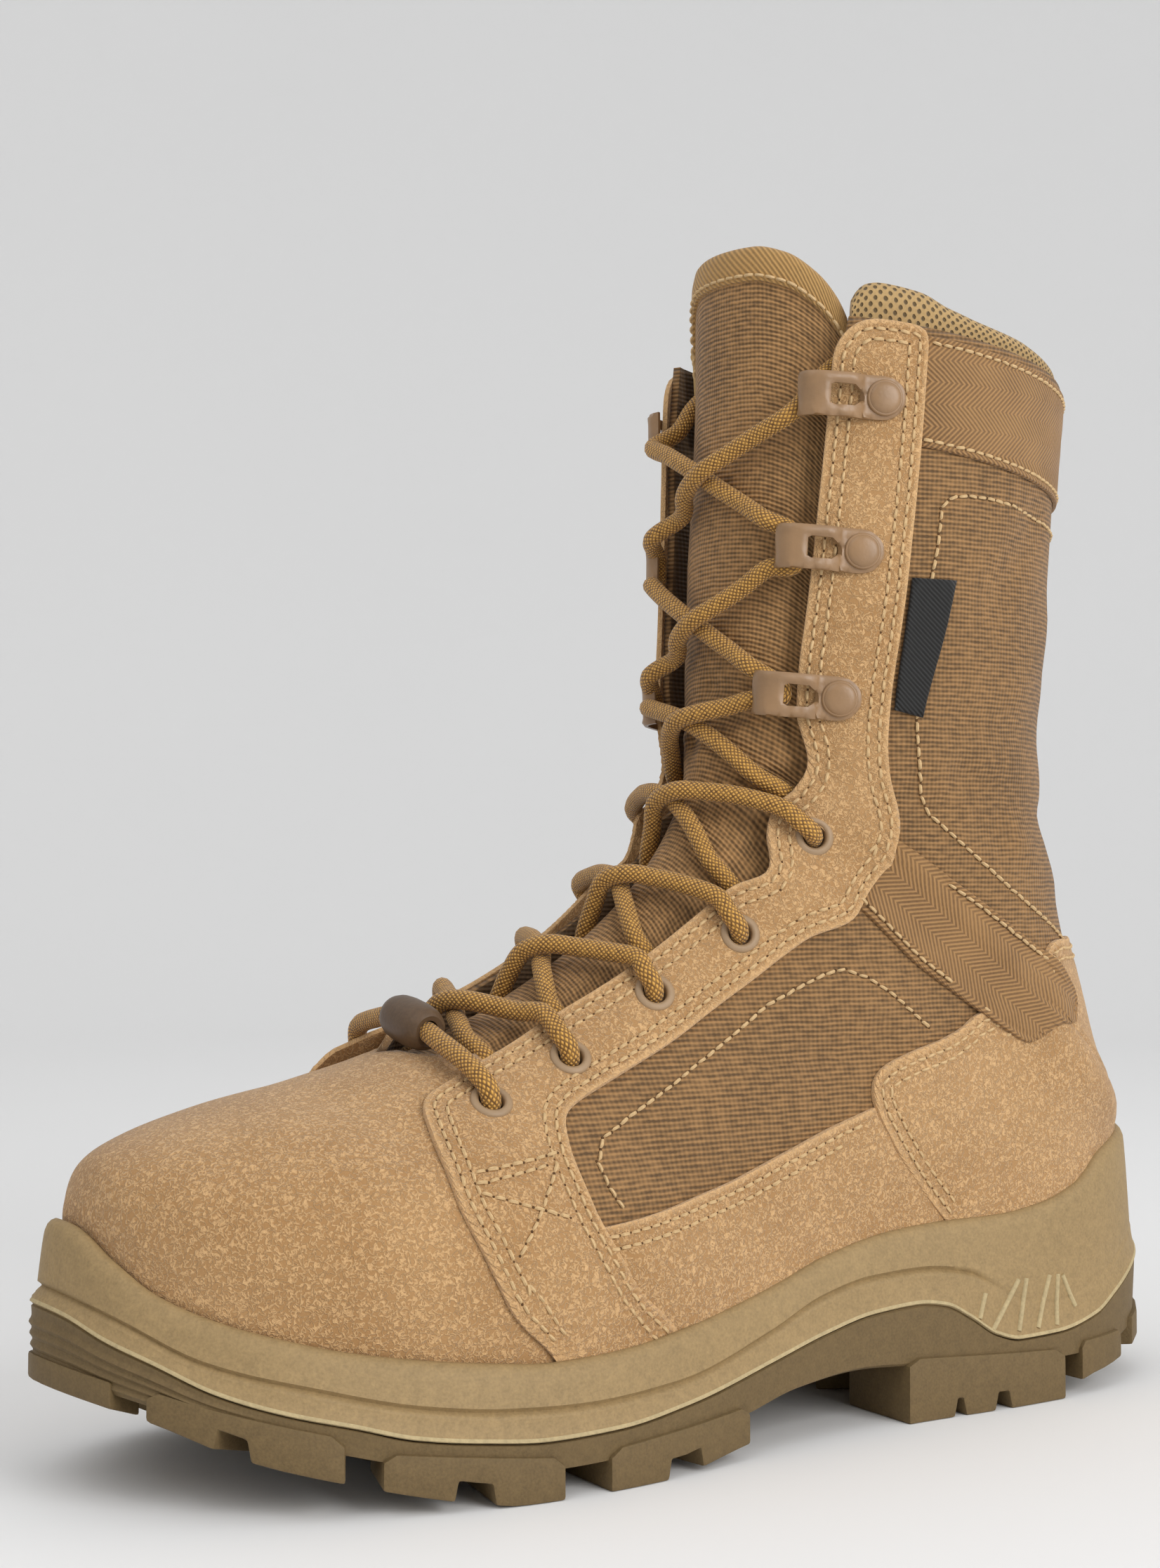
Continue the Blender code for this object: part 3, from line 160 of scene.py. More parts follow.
FACING_REAR = [(6.88, 0.635), (6.76, 0.507), (6.86, 0.407), (7.07, 0.341), (7.32, 0.331), (8.3, 0.337),
               (9.5, 0.349), (11.0, 0.377), (11.6, 0.389), (12.3, 0.422), (12.55, 0.429), (13.8, 0.425),
               (14.7, 0.453), (15.3, 0.461), (15.75, 0.447), (16.3, 0.447), (17.1, 0.459), (18.4, 0.481),
               (19.8, 0.495), (21.0, 0.503)]
BAND_TOP = [(10.98, 0.62), (10.2, 0.595), (8.9, 0.561), (7.6, 0.543)]
BAND_FRONT = [(6.6, 0.52), (6.65, 0.64)]
BAND_FOOT = (6.95, 11.25)
BAND_REAR = [(11.15, 0.918), (11.05, 0.731)]
COUNTER_FRONT = [(10.96, 0.918), (10.87, 0.731), (10.85, 0.617), (10.99, 0.585), (11.27, 0.579),
                 (11.92, 0.595), (12.76, 0.632), (15.1, 0.712), (15.44, 0.756), (15.85, 0.86)]
COUNTER_FOOT = (13.9, 11.07)
COUNTER_SEAM = (14.0, 16.05)
STRAP_FRONT = [(12.68, 0.437), (13.8, 0.431), (14.62, 0.458)]
STRAP_TOP = [(14.67, 0.54), (14.82, 0.66)]
STRAP_REAR = [(14.98, 0.727), (14.75, 0.764), (13.69, 0.699), (13.28, 0.715)]
STRAP_LOW = [(13.06, 0.72), (12.88, 0.627), (12.7, 0.525)]
CUFF_LOW, CUFF_HIGH, CUFF_FRONT = 19.66, 20.9, 0.509
# How far the fronts of strap and cuff run on under the facing
STRAP_TUCK = 0.035
CUFF_TUCK = 0.045
TAG = [(18.46, 0.49), (18.53, 0.575), (16.99, 0.522), (16.93, 0.465)]
EYELETS = [(6.46, 0.269), (7.58, 0.267), (9.0, 0.267), (10.55, 0.303), (13.14, 0.321)]
Hook = namedtuple("Hook", "station around front_station front_around")
HOOKS = [Hook(16.77, 0.353, 16.43, 0.202), Hook(18.59, 0.385, 18.53, 0.228),
         Hook(20.06, 0.415, 20.02, 0.267)]

# Tongue: its half width by station, and its top edge by share across
TONGUE_BOTTOM = 5.0
TONGUE_HALF = [(5, 0.16), (6.5, 0.22), (8, 0.25), (10, 0.29), (12, 0.345), (14, 0.35), (17, 0.355),
               (19.5, 0.355), (20.4, 0.305), (22, 0.305)]
TONGUE_TOP = [(0, 21.83), (0.35, 21.83), (0.6, 21.74), (0.8, 21.5), (0.92, 21.2), (1.0, 20.8)]
# Collar padding above the upper's edge: share around, rise
COLLAR_RISE = [(0.355, 6.5), (0.42, 8.5), (0.5, 8), (0.57, 5.5), (0.66, 3), (0.78, 1.8), (1.0, 1.5)]

# Side lugs come in pairs under one raised plate: ends along x, reach inwards, plate top at both ends, and
# the notches as shares of the length
LugPair = namedtuple("LugPair", "front rear reach top_front top_rear notches")
SIDE_LUGS = [
    LugPair(135, 105, 20, 26.5, 17, [(0.36, 0.54)]), LugPair(98, 60, 26, 13.4, 9.0, [(0.38, 0.6)]),
    LugPair(49, 8, 23, 9.0, 12.2, [(0.38, 0.62)]),
    LugPair(-46, -98, 24, 15.6, 12.6, [(0.29, 0.36), (0.54, 0.64)]),
    LugPair(-104, -121, 18, 13.6, 14.2, []),
]
NOTCH_RISE = 4.4
CentreLug = namedtuple("CentreLug", "front rear half")
CENTRE_LUGS = [CentreLug(120, 104, 11), CentreLug(94, 76, 13), CentreLug(67, 50, 13), CentreLug(41, 24, 12),
               CentreLug(-52, -70, 7), CentreLug(-78, -95, 7)]
TOE_LUG_X = 139.0
HEEL_TIP_X = -128.0


def through(rows, at, before=None, after=None):
    """A smooth curve through the rows, read at row numbers."""
    rows = np.asarray(rows, float)
    line = np.concatenate([[2 * rows[0] - rows[1] if before is None else before], rows,
                           [2 * rows[-1] - rows[-2] if after is None else after]])
    at = np.clip(np.asarray(at, float), 0, len(rows) - 1)
    i = np.minimum(at.astype(int), len(rows) - 2)
    f = at - i
    if rows.ndim > 1:
        f = f[:, None]
    a, b, c, d = line[i], line[i + 1], line[i + 2], line[i + 3]
    return b + 0.5 * f * (c - a + f * (2 * a - 5 * b + 4 * c - d + f * (3 * b - a - 3 * c + d)))


def level(rows, at):
    """A height read from a table of x and z without overshoot."""
    x, z = np.asarray(rows, float).T
    step, slope = np.diff(x), np.diff(z) / np.diff(x)
    tilt = np.concatenate([[slope[0]], np.zeros(len(x) - 2), [slope[-1]]])
    for k in range(1, len(x) - 1):
        if slope[k - 1] * slope[k] > 0:
            a, b = 2 * step[k] + step[k - 1], step[k] + 2 * step[k - 1]
            tilt[k] = (a + b) / (a / slope[k - 1] + b / slope[k])
    at = np.clip(np.asarray(at, float), x[0], x[-1])
    i = np.clip(np.searchsorted(x, at) - 1, 0, len(step) - 1)
    f = (at - x[i]) / step[i]
    return ((2 * f ** 3 - 3 * f ** 2 + 1) * z[i] + (f ** 3 - 2 * f ** 2 + f) * step[i] * tilt[i]
            + (3 * f ** 2 - 2 * f ** 3) * z[i + 1] + (f ** 3 - f ** 2) * step[i] * tilt[i + 1])


def read(rows, at):
    """A value read from a table with straight steps."""
    return np.interp(at, *np.array(rows).T)


def read_rows(run, rows, at):
    """Rows of numbers read at places along their run."""
    return np.stack([np.interp(at, run, column) for column in np.asarray(rows).T], -1)


def over(rows, rise=0.0):
    """A function of x for the height this far above a table's line."""
    return lambda x: level(rows, x) + rise


def between(low, high, share):
    """A function of x for the height at a share of the way between two others."""
    return lambda x: low(x) + (high(x) - low(x)) * share


def run_of(path):
    """How far along a path each of its points lies."""
    return np.concatenate([[0], np.cumsum(norm(np.diff(path, axis=0), axis=1))])


def outline_points(side):
    """One side of the sole's outline as close points, and their run from the toe tip."""
    rows, other = np.asarray(OUTLINE[side], float), np.asarray(OUTLINE[-side], float)
    points = through(rows, np.linspace(0, len(rows) - 1, 600), other[1], other[-2])
    return points, run_of(points)


OUTLINE_POINTS = {side: outline_points(side) for side in (1, -1)}


def outline_at(side, length):
    """Points of the outline by their distance from the toe tip along it."""
    points, run = OUTLINE_POINTS[side]
    return read_rows(run, points, length)


def outline(side, share, out=0.0):
    """Points of the sole's outline and their directions, by share from toe tip to heel back, moved out."""
    total = OUTLINE_POINTS[side][1][-1]
    length = np.clip(share, 0, 1) * total
    way = outline_at(side, np.minimum(length + 2, total)) - outline_at(side, np.maximum(length - 2, 0))
    way = way / norm(way, axis=-1, keepdims=True)
    share = np.asarray(share, float)
    ends = (share <= 0) | (share >= 1)
    across = np.stack([np.zeros_like(share), np.where(share <= 0, side, -side)], -1)
    way = np.where(ends[..., None], across, way)
    outward = np.stack([way[..., 1], -way[..., 0]], -1) * side
    return outline_at(side, length) + outward * np.asarray(out)[..., None], way


def share_at(side, x):
    """The share along the outline at which it reaches x."""
    points, run = OUTLINE_POINTS[side]
    return float(np.interp(-x, -points[:, 0], run / run[-1]))


SECTIONS = FOOT_SECTIONS + SHAFT_SECTIONS
FRONT_LINE = np.array([row[:3] for row in SECTIONS], float)
WIDEST = np.array([row.widest for row in SECTIONS])
FULL = np.array([row.full for row in SECTIONS])
RIM_SHARE = np.array([row.end for row in FOOT_SECTIONS])
SEAM_RISE = np.array([44.0, 66.0] + [row.end for row in SHAFT_SECTIONS])


def half_widths(side):
    """Half the width of every section on one side."""
    edge = [float(outline(side, np.array(row.end))[0][1]) for row in FOOT_SECTIONS]
    foot = [(y - row.y) * side + row.bulge for y, row in zip(edge, FOOT_SECTIONS)]
    return np.array(foot + [row.half for row in SHAFT_SECTIONS])


HALF_WIDTH = {side: half_widths(side) for side in (1, -1)}


def half_skin(station, around, side):
    """Points of one side of the upper: two cubic arcs, front line to widest point to end."""
    front = through(FRONT_LINE, station)
    on_rim = station <= HEEL
    share = np.where(on_rim, np.clip(through(RIM_SHARE, np.minimum(station, HEEL)), 0, 1), 1.0)
    foot, way = outline(side, share)
    rise = through(SEAM_RISE, np.maximum(station - HEEL, 0) + 1)
    end_x = np.where(on_rim, foot[:, 0], level(BACK_SEAM, rise))
    end_y = np.where(on_rim, foot[:, 1], 0.0)
    end_z = np.where(on_rim, level(RIM, foot[:, 0]) - RIM_TUCK, rise)
    reach = np.hypot(end_x - front[:, 0], end_z - front[:, 2])
    along_x = (end_x - front[:, 0]) / np.maximum(reach, 1e-9)
    along_z = (end_z - front[:, 2]) / np.maximum(reach, 1e-9)
    end_side = (end_y - front[:, 1]) * side
    half = np.maximum(through(HALF_WIDTH[side], station), end_side)
    widest, full = through(WIDEST, station) * reach, through(FULL, station)
    turn_r = np.where(on_rim, np.abs(way[:, 0]), 0.0)
    turn_s = np.where(on_rim, -np.abs(way[:, 1]) * np.abs(along_x), -1.0)
    size = np.hypot(turn_r, turn_s) + 1e-12
    turn_r, turn_s = turn_r / size, turn_s / size
    pull = ROUND_REAR * np.hypot(turn_r * (reach - widest), turn_s * (half - end_side))
    zero = np.zeros_like(reach)
    first = ((zero, zero), (zero, full * half), (widest * (1 - full), half), (widest, half))
    second = ((widest, half), (widest + ROUND_REAR * (reach - widest), half),
              (reach - pull * turn_r, end_side - pull * turn_s), (reach, end_side))
    ahead = around <= SPLIT
    f = np.where(ahead, around / SPLIT, (around - SPLIT) / (1 - SPLIT))
    weights = ((1 - f) ** 3, 3 * f * (1 - f) ** 2, 3 * f ** 2 * (1 - f), f ** 3)
    r = sum(w * np.where(ahead, a[0], b[0]) for w, a, b in zip(weights, first, second))
    s = sum(w * np.where(ahead, a[1], b[1]) for w, a, b in zip(weights, first, second))
    return np.stack([front[:, 0] + r * along_x, front[:, 1] + side * s, front[:, 2] + r * along_z], -1)


def skin(station, around):
    """Points of the upper's outside. Around is positive on the lateral side and negative on the medial."""
    station, around = np.broadcast_arrays(np.asarray(station, float), np.asarray(around, float))
    station, around = station.ravel(), around.ravel()
    past = np.abs(around) > 1
    around = np.where(past & (station > HEEL), around - 2 * np.sign(around), np.clip(around, -1, 1))
    lateral = half_skin(station, np.abs(around), 1)
    medial = half_skin(station, np.abs(around), -1)
    return np.where((around >= 0)[:, None], lateral, medial)


def skin_at(spots, side):
    """Points of the upper's outside at spots of one side, given by station and share around."""
    return skin(spots[:, 0], side * spots[:, 1])


def skin_normal(station, around):
    """Directions out of the upper's outside."""
    station, around = np.broadcast_arrays(np.asarray(station, float), np.asarray(around, float))
    station, around = np.maximum(station.ravel(), 0.2), around.ravel()
    across = skin(station, around + 0.004) - skin(station, around - 0.004)
    up = skin(station + 0.03, around) - skin(station - 0.03, around)
    normal = np.cross(across, up)
    return normal / norm(normal, axis=1, keepdims=True)


def raised(station, around, lift):
    """Points at a height over the upper's outside."""
    return skin(station, around) + skin_normal(station, around) * np.asarray(lift, float).reshape(-1, 1)


def around_at_rim(station, side, lift):
    """The share around at which the upper stands this far above the sole's rim."""
    low, high = 0.7, 1.0
    for _ in range(24):
        middle = (low + high) / 2
        point = skin(station, side * middle)[0]
        if point[2] > float(level(RIM, point[0])) + lift:
            low = middle
        else:
            high = middle
    return low


# Creases and swells of the upper: ends in station and around, height (below zero a trough)
# and half width
Crease = namedtuple("Crease", "station_a around_a station_b around_b height width")
CREASES = [
    Crease(16.55, 0.62, 16.9, 0.86, -1.8, 5.0), Crease(16.2, 0.7, 16.35, 0.9, 1.1, 4.5),
    Crease(17.2, 0.62, 17.7, 0.84, -1.2, 6.0), Crease(15.7, 0.5, 16.2, 0.66, -1.2, 5.5),
    Crease(18.5, 0.66, 19.3, 0.74, -1.3, 6.0), Crease(17.9, 0.72, 18.6, 0.84, 0.9, 7.0),
    Crease(11.3, 0.41, 12.2, 0.47, -1.1, 4.0), Crease(10.4, 0.5, 11.6, 0.56, -1.0, 5.0),
    Crease(8.6, 0.42, 9.8, 0.5, 0.6, 7.0), Crease(7.6, 0.44, 8.0, 0.5, -0.5, 5.0),
    Crease(5.0, 0.12, 5.3, 0.3, -0.7, 6.0), Crease(3.6, 0.3, 4.4, 0.5, -0.4, 9.0),
    Crease(16.5, -0.6, 16.9, -0.84, -1.0, 5.0), Crease(17.5, -0.66, 18.2, -0.84, -0.7, 7.0),
    Crease(10.6, -0.46, 11.8, -0.54, -0.7, 5.0), Crease(5.0, -0.12, 5.3, -0.3, -0.6, 6.0),
]
# Folds of the tongue where the ankle bends: ends in station and around, height and half width
TONGUE_FOLDS = [
    Crease(13.3, -0.16, 13.8, 0.2, -1.7, 2.8), Crease(14.6, -0.05, 14.2, 0.24, -1.7, 2.4),
    Crease(15.4, -0.18, 15.6, 0.12, -1.5, 2.8), Crease(16.4, 0.02, 16.1, 0.24, -1.3, 3.0),
    Crease(12.3, -0.2, 12.6, 0.1, -1.2, 3.0), Crease(17.2, -0.1, 17.0, 0.1, -0.7, 4.0),
    Crease(14.0, 0.02, 13.9, 0.2, 1.0, 2.4), Crease(15.0, -0.1, 15.1, 0.14, 0.9, 2.6),
]


def crease_ends(creases):
    """The creases with their ends as points on the upper."""
    rows = np.array(creases)
    return list(zip(skin(rows[:, 0], rows[:, 1]), skin(rows[:, 2], rows[:, 3]), rows[:, 4], rows[:, 5]))


UPPER_CREASES = crease_ends(CREASES)
TONGUE_CREASES = crease_ends(TONGUE_FOLDS)


def swell(points, creases):
    """How far the creases raise or lower each point."""
    total = np.zeros(len(points))
    for a, b, height, width in creases:
        f = np.clip((points - a) @ (b - a) / np.dot(b - a, b - a), 0, 1)
        gap = norm(points - a - f[:, None] * (b - a), axis=1)
        total += height * np.exp(-(gap / width) ** 2)
    return total


# The medial facing stands open: how far its edge is lifted by station, where that edge runs, and how far
# round the lift reaches
FLARE = [(5.45, 0.0), (5.75, 4.0), (6.1, 6.5), (6.6, 7.0), (7.0, 6.8), (7.9, 6.8), (9.0, 8.2), (10.1, 10.0),
         (11.2, 10.8), (12.1, 10.6), (13.0, 9.0), (14.0, 7.0), (16.0, 5.0), (20.0, 4.0), (21.0, 3.0)]
FLARE_EDGE = [(5.45, 0.35), (5.53, 0.317), (5.74, 0.225), (5.9, 0.206), (6.7, 0.184), (7.6, 0.182),
              (8.9, 0.202), (10.1, 0.224), (11.1, 0.246), (11.8, 0.28), (12.4, 0.252), (13.7, 0.245),
              (15.0, 0.29), (16.1, 0.265), (18.9, 0.293), (21.0, 0.36)]
FLARE_REACH = 0.14


def flare(station, around):
    """How far the open medial facing stands off the upper."""
    edge = read(FLARE_EDGE, station)
    near = np.clip(1 - (np.abs(around) - edge) / FLARE_REACH, 0, 1) ** 1.5
    return np.where(np.asarray(around) < 0, read(FLARE, station) * near, 0.0)


def surface(station, around, lift=0.0):
    """Points of the creased upper, lifted along its normals."""
    points = skin(station, around)
    rise = np.asarray(lift, float).ravel() + swell(points, UPPER_CREASES) + flare(station, around).ravel()
    return points + skin_normal(station, around) * rise[:, None]


def linear(colour):
    """An sRGB hex colour as linear red, green and blue."""
    parts = [int(colour[k:k + 2], 16) / 255 for k in (0, 2, 4)]
    return tuple(c / 12.92 if c <= 0.04045 else ((c + 0.055) / 1.055) ** 2.4 for c in parts)


def shaded(colour, share):
    """A colour made darker or lighter by a share."""
    return tuple(min(1.0, share * c) for c in colour)


def length(label, words, size):
    """A property for a length, given in millimetres."""
    return FloatProperty(name=label, description=words, default=size * MM, min=0.0, precision=5,
                         unit="LENGTH")


def tint(label, words, colour):
    """A property for a colour, given as sRGB hex."""
    return FloatVectorProperty(name=label, description=words, default=linear(colour), size=3, min=0.0,
                               max=1.0, subtype="COLOR")


class BootSizes(bpy.types.PropertyGroup):
    """Sizes that a maker would change."""
    suede: length("Suede", "Thickness of the suede overlays", 1.5)
    webbing: length("Webbing", "Thickness of strap and cuff", 1.15)
    pitch: length("Stitch pitch", "Distance from stitch to stitch", 3.1)
    stitch: length("Stitch length", "Length of the thread that shows in one stitch", 2.5)
    thread: length("Thread radius", "Half the sewing thread's thickness", 0.42)
    inset: length("Seam inset", "From a suede edge to its first row of stitches", 2.5)
    space: length("Seam spacing", "From the first row of stitches to the second", 2.7)
    lace: length("Lace radius", "Half the lace's thickness", 2.35)
    eyelet: length("Eyelet radius", "Half the eyelet flange's width", 4.85)
    hole: length("Eyelet hole", "Half the width of the eyelet's hole", 2.85)
    hook: length("Hook width", "Width of the hook's strap", 10.8)
    rivet: length("Rivet radius", "Half the width of the hook's rivet", 4.5)
    seed: IntProperty(name="Seed", description="Seed for the small differences from stitch to stitch",
                      default=7)


class BootColours(bpy.types.PropertyGroup):
    """Colours that a maker would change."""
    suede: tint("Suede", "Lit nap of the suede", "C7A173")
    suede_dark: tint("Suede shade", "Nap brushed the other way", "9C774E")
    nylon: tint("Nylon", "Raised threads of the woven nylon", "9C764A")
    nylon_dark: tint("Nylon shade", "Gaps of the woven nylon", "563F24")
    webbing: tint("Webbing", "Raised lines of the webbing", "9E784B")
    webbing_dark: tint("Webbing shade", "Gaps of the webbing", "5D4227")
    binding: tint("Binding", "Twill tape round the tongue's top", "B38B53")
    mesh: tint("Mesh", "Threads of the spacer mesh", "B49565")
    foam: tint("Midsole", "Moulded foam of the midsole", "937B54")
    flash: tint("Flash", "Thin trimmed edge between midsole and outsole", "AD9B75")
    rubber: tint("Outsole", "Moulded rubber of the outsole", "695637")
    enamel: tint("Enamel", "Paint on the hooks", "836545")
    eyelet: tint("Eyelet", "Paint on the eyelets", "8E7558")
    cord: tint("Lace", "Lit strands of the braided lace", "DCA64E")
    cord_dark: tint("Lace shade", "Dark strands of the braided lace", "5E3D14")
    thread: tint("Thread", "Sewing thread", "D6B585")
    label: tint("Label", "Bare woven label", "1F1E1D")
    bead: tint("Bead", "Bare bead on the lace", "574330")
    lining: tint("Lining", "Cloth inside the boot", "6A5238")
    footbed: tint("Footbed", "Cloth on the insole", "4A3D2C")
    floor: tint("Floor", "Pale studio floor", "E8E8E8")


# Materials

def add_node(tree, family, kind, inputs=None, **settings):
    """Adds a node with its settings. Its inputs are set, or linked to a socket or a node's first output."""
    made = tree.nodes.new(family + kind)
    for key, value in settings.items():
        setattr(made, key, value)
    for key, value in (inputs or {}).items():
        source = value.outputs[0] if isinstance(value, bpy.types.Node) else value
        if isinstance(source, bpy.types.NodeSocket):
            tree.links.new(source, made.inputs[key])
        else:
            made.inputs[key].default_value = source
    return made


def start_finish(name, **sockets):
    """A material with its shader's constants set. Returns it, the shader and what adds nodes to its tree."""
    made = bpy.data.materials.new(name)
    made.use_nodes = True
    made.node_tree.nodes.clear()
    add = partial(add_node, made.node_tree, "ShaderNode")
    shader = add("BsdfPrincipled",
                 {key.replace("_", " ").replace("Ior", "IOR"): value for key, value in sockets.items()})
    add("OutputMaterial", {"Surface": shader}).location = (300, 0)
    return made, shader, add


def coat(add, shader, dark, light, share, height, depth):
    """Colours a shader between two tints by a share, and bumps it by a height of a depth in millimetres."""
    mixed = add("Mix", {0: share, 6: (*dark, 1), 7: (*light, 1)}, data_type="RGBA")
    bump = add("Bump", {"Height": height, "Distance": depth * MM, "Strength": 1.0})
    links = shader.id_data.links
    links.new(mixed.outputs[2], shader.inputs["Base Color"])
    links.new(bump.outputs[0], shader.inputs["Normal"])


def per(size):
    """A noise scale for a feature of this many millimetres, on coordinates in metres."""
    return 1 / (size * MM)


def bands(period):
    """A wave texture's scale for bands of this period, in the units of its vector."""
    return 2 * math.pi / (20 * period)


def suede_finish(name, colours):
    """Suede, split leather with a brushed nap: matt, soft at grazing angles, with short pale flecks about
    1 mm long where the nap lies in other directions, broad mottling and a paler raw edge."""
    made, shader, add = start_finish(name, Roughness=0.95, Specular_Ior_Level=0.12, Sheen_Weight=0.22,
                                     Sheen_Roughness=0.45)
    place = add("TexCoord").outputs["Object"]
    nap = add("TexNoise", {"Vector": place, "Scale": per(1.15), "Detail": 1.0, "Distortion": 0.9})
    curl = add("Math", {0: nap, 1: 0.5}, operation="SUBTRACT")
    worm = add("Math", {0: curl}, operation="ABSOLUTE")
    mottle = add("TexNoise", {"Vector": place, "Scale": per(26), "Detail": 3.0})
    fine = add("TexNoise", {"Vector": place, "Scale": per(0.5), "Detail": 1.0})
    share = add("Math", {0: mottle, 1: 0.75, 2: -0.16}, operation="MULTIPLY_ADD")
    worms = add("MapRange", {"Value": worm, "From Min": 0.0, "From Max": 0.1, "To Min": 0.85,
                             "To Max": -0.1})
    both = add("Math", {0: share, 1: worms}, operation="ADD")
    raw = add("Attribute", attribute_name="edge")
    whole = add("Math", {0: raw.outputs["Fac"], 1: 0.95, 2: both}, operation="MULTIPLY_ADD", use_clamp=True)
    height = add("Math", {0: fine, 1: 0.6, 2: worms}, operation="MULTIPLY_ADD")
    coat(add, shader, colours.suede_dark, colours.suede, whole, height, 0.16)
    return made


def nylon_finish(name, light, dark):
    """Coarse plain-woven nylon: weft about 1.2 mm apart crossed by warp, with thick and thin lengths of
    thread and a dull shine on the raised ones."""
    made, shader, add = start_finish(name, Roughness=0.72, Specular_Ior_Level=0.3, Sheen_Weight=0.1)
    cloth = add("UVMap", uv_map="cloth")
    weft = add("TexWave", {"Vector": cloth, "Scale": bands(1.15), "Distortion": 1.4, "Detail": 1.0,
                           "Detail Scale": 0.5}, bands_direction="Y")
    warp = add("TexWave", {"Vector": cloth, "Scale": bands(1.35), "Distortion": 2.2, "Detail": 1.0,
                           "Detail Scale": 0.7}, bands_direction="X")
    stretched = add("Mapping", {"Vector": cloth, "Scale": (0.33, 1.0, 1.0)})
    slub = add("TexNoise", {"Vector": stretched, "Scale": 0.85, "Detail": 2.0})
    broad = add("TexNoise", {"Vector": cloth, "Scale": 0.035, "Detail": 2.0})
    height = add("Math", {0: warp.outputs["Fac"], 1: 0.4, 2: weft.outputs["Fac"]}, operation="MULTIPLY_ADD")
    uneven = add("Math", {0: slub, 1: 2.0, 2: height}, operation="MULTIPLY_ADD")
    worn = add("Math", {0: broad, 1: 0.9, 2: uneven}, operation="MULTIPLY_ADD")
    share = add("MapRange", {"Value": worn, "From Min": 1.45, "From Max": 2.9})
    coat(add, shader, dark, light, share, height, 0.24)
    return made


def webbing_finish(name, colours):
    """Herringbone nylon webbing: slanted lines about 1 mm apart that turn back every 5.5 mm."""
    made, shader, add = start_finish(name, Roughness=0.7, Specular_Ior_Level=0.3, Sheen_Weight=0.1)
    cloth = add("UVMap", uv_map="cloth")
    split = add("SeparateXYZ", {0: cloth})
    fold = add("Math", {0: split.outputs[1], 1: 5.5}, operation="PINGPONG")
    slant = add("Math", {0: fold, 1: 1.1, 2: split}, operation="MULTIPLY_ADD")
    line = add("CombineXYZ", {0: slant, 1: split.outputs[1]})
    twill = add("TexWave", {"Vector": line, "Scale": bands(1.5), "Distortion": 0.7, "Detail": 1.0,
                            "Detail Scale": 0.7}, bands_direction="X")
    grain = add("TexNoise", {"Vector": cloth, "Scale": 1.3, "Detail": 2.0})
    broad = add("TexNoise", {"Vector": cloth, "Scale": 0.06, "Detail": 2.0})
    height = add("Math", {0: grain, 1: 0.5, 2: twill.outputs["Fac"]}, operation="MULTIPLY_ADD")
    worn = add("Math", {0: broad, 1: 0.8, 2: height}, operation="MULTIPLY_ADD")
    share = add("MapRange", {"Value": worn, "From Min": 0.35, "From Max": 1.6})
    coat(add, shader, colours.webbing_dark, colours.webbing, share, height, 0.2)
    return made


def twill_finish(name, light, dark, period, roughness):
    """Twill tape: one family of slanted lines, woven flat."""
    made, shader, add = start_finish(name, Roughness=roughness, Specular_Ior_Level=0.3, Sheen_Weight=0.1)
    cloth = add("UVMap", uv_map="cloth")
    twill = add("TexWave", {"Vector": cloth, "Scale": bands(period) * 1.41, "Distortion": 0.5,
                            "Detail": 1.0}, bands_direction="DIAGONAL")
    grain = add("TexNoise", {"Vector": cloth, "Scale": 0.9, "Detail": 2.0})
    height = add("Math", {0: grain, 1: 0.6, 2: twill.outputs["Fac"]}, operation="MULTIPLY_ADD")
    share = add("MapRange", {"Value": height, "From Min": 0.15, "From Max": 1.2})
    coat(add, shader, dark, light, share, height, 0.2)
    return made


def mesh_finish(name, colours):
    """Spacer mesh: knitted threads round small holes about 2.4 mm apart, in staggered rows, with painted
    shade in the holes.
    """
    made, shader, add = start_finish(name, Roughness=0.8, Specular_Ior_Level=0.25, Sheen_Weight=0.1)
    cloth = add("UVMap", uv_map="cloth")
    turned = add("Mapping", {"Vector": cloth, "Rotation": (0, 0, math.radians(45))})
    rows = [add("TexWave", {"Vector": turned, "Scale": bands(1.75), "Distortion": 1.0}, bands_direction=way)
            for way in "XY"]
    holes = add("Math", {0: rows[0].outputs["Fac"], 1: rows[1].outputs["Fac"]}, operation="MULTIPLY")
    threads = add("MapRange", {"Value": holes, "From Min": 0.72, "From Max": 0.3})
    grain = add("TexNoise", {"Vector": cloth, "Scale": 1.6, "Detail": 2.0})
    tone = add("Math", {0: grain, 1: 0.5, 2: 0.55}, operation="MULTIPLY_ADD")
    share = add("Math", {0: tone, 1: threads}, operation="MULTIPLY", use_clamp=True)
    # Painted shade: the holes' dark colour stands in for the shade inside them
    dark = shaded(colours.mesh, 0.22)
    coat(add, shader, dark, colours.mesh, share, threads, 0.5)
    return made


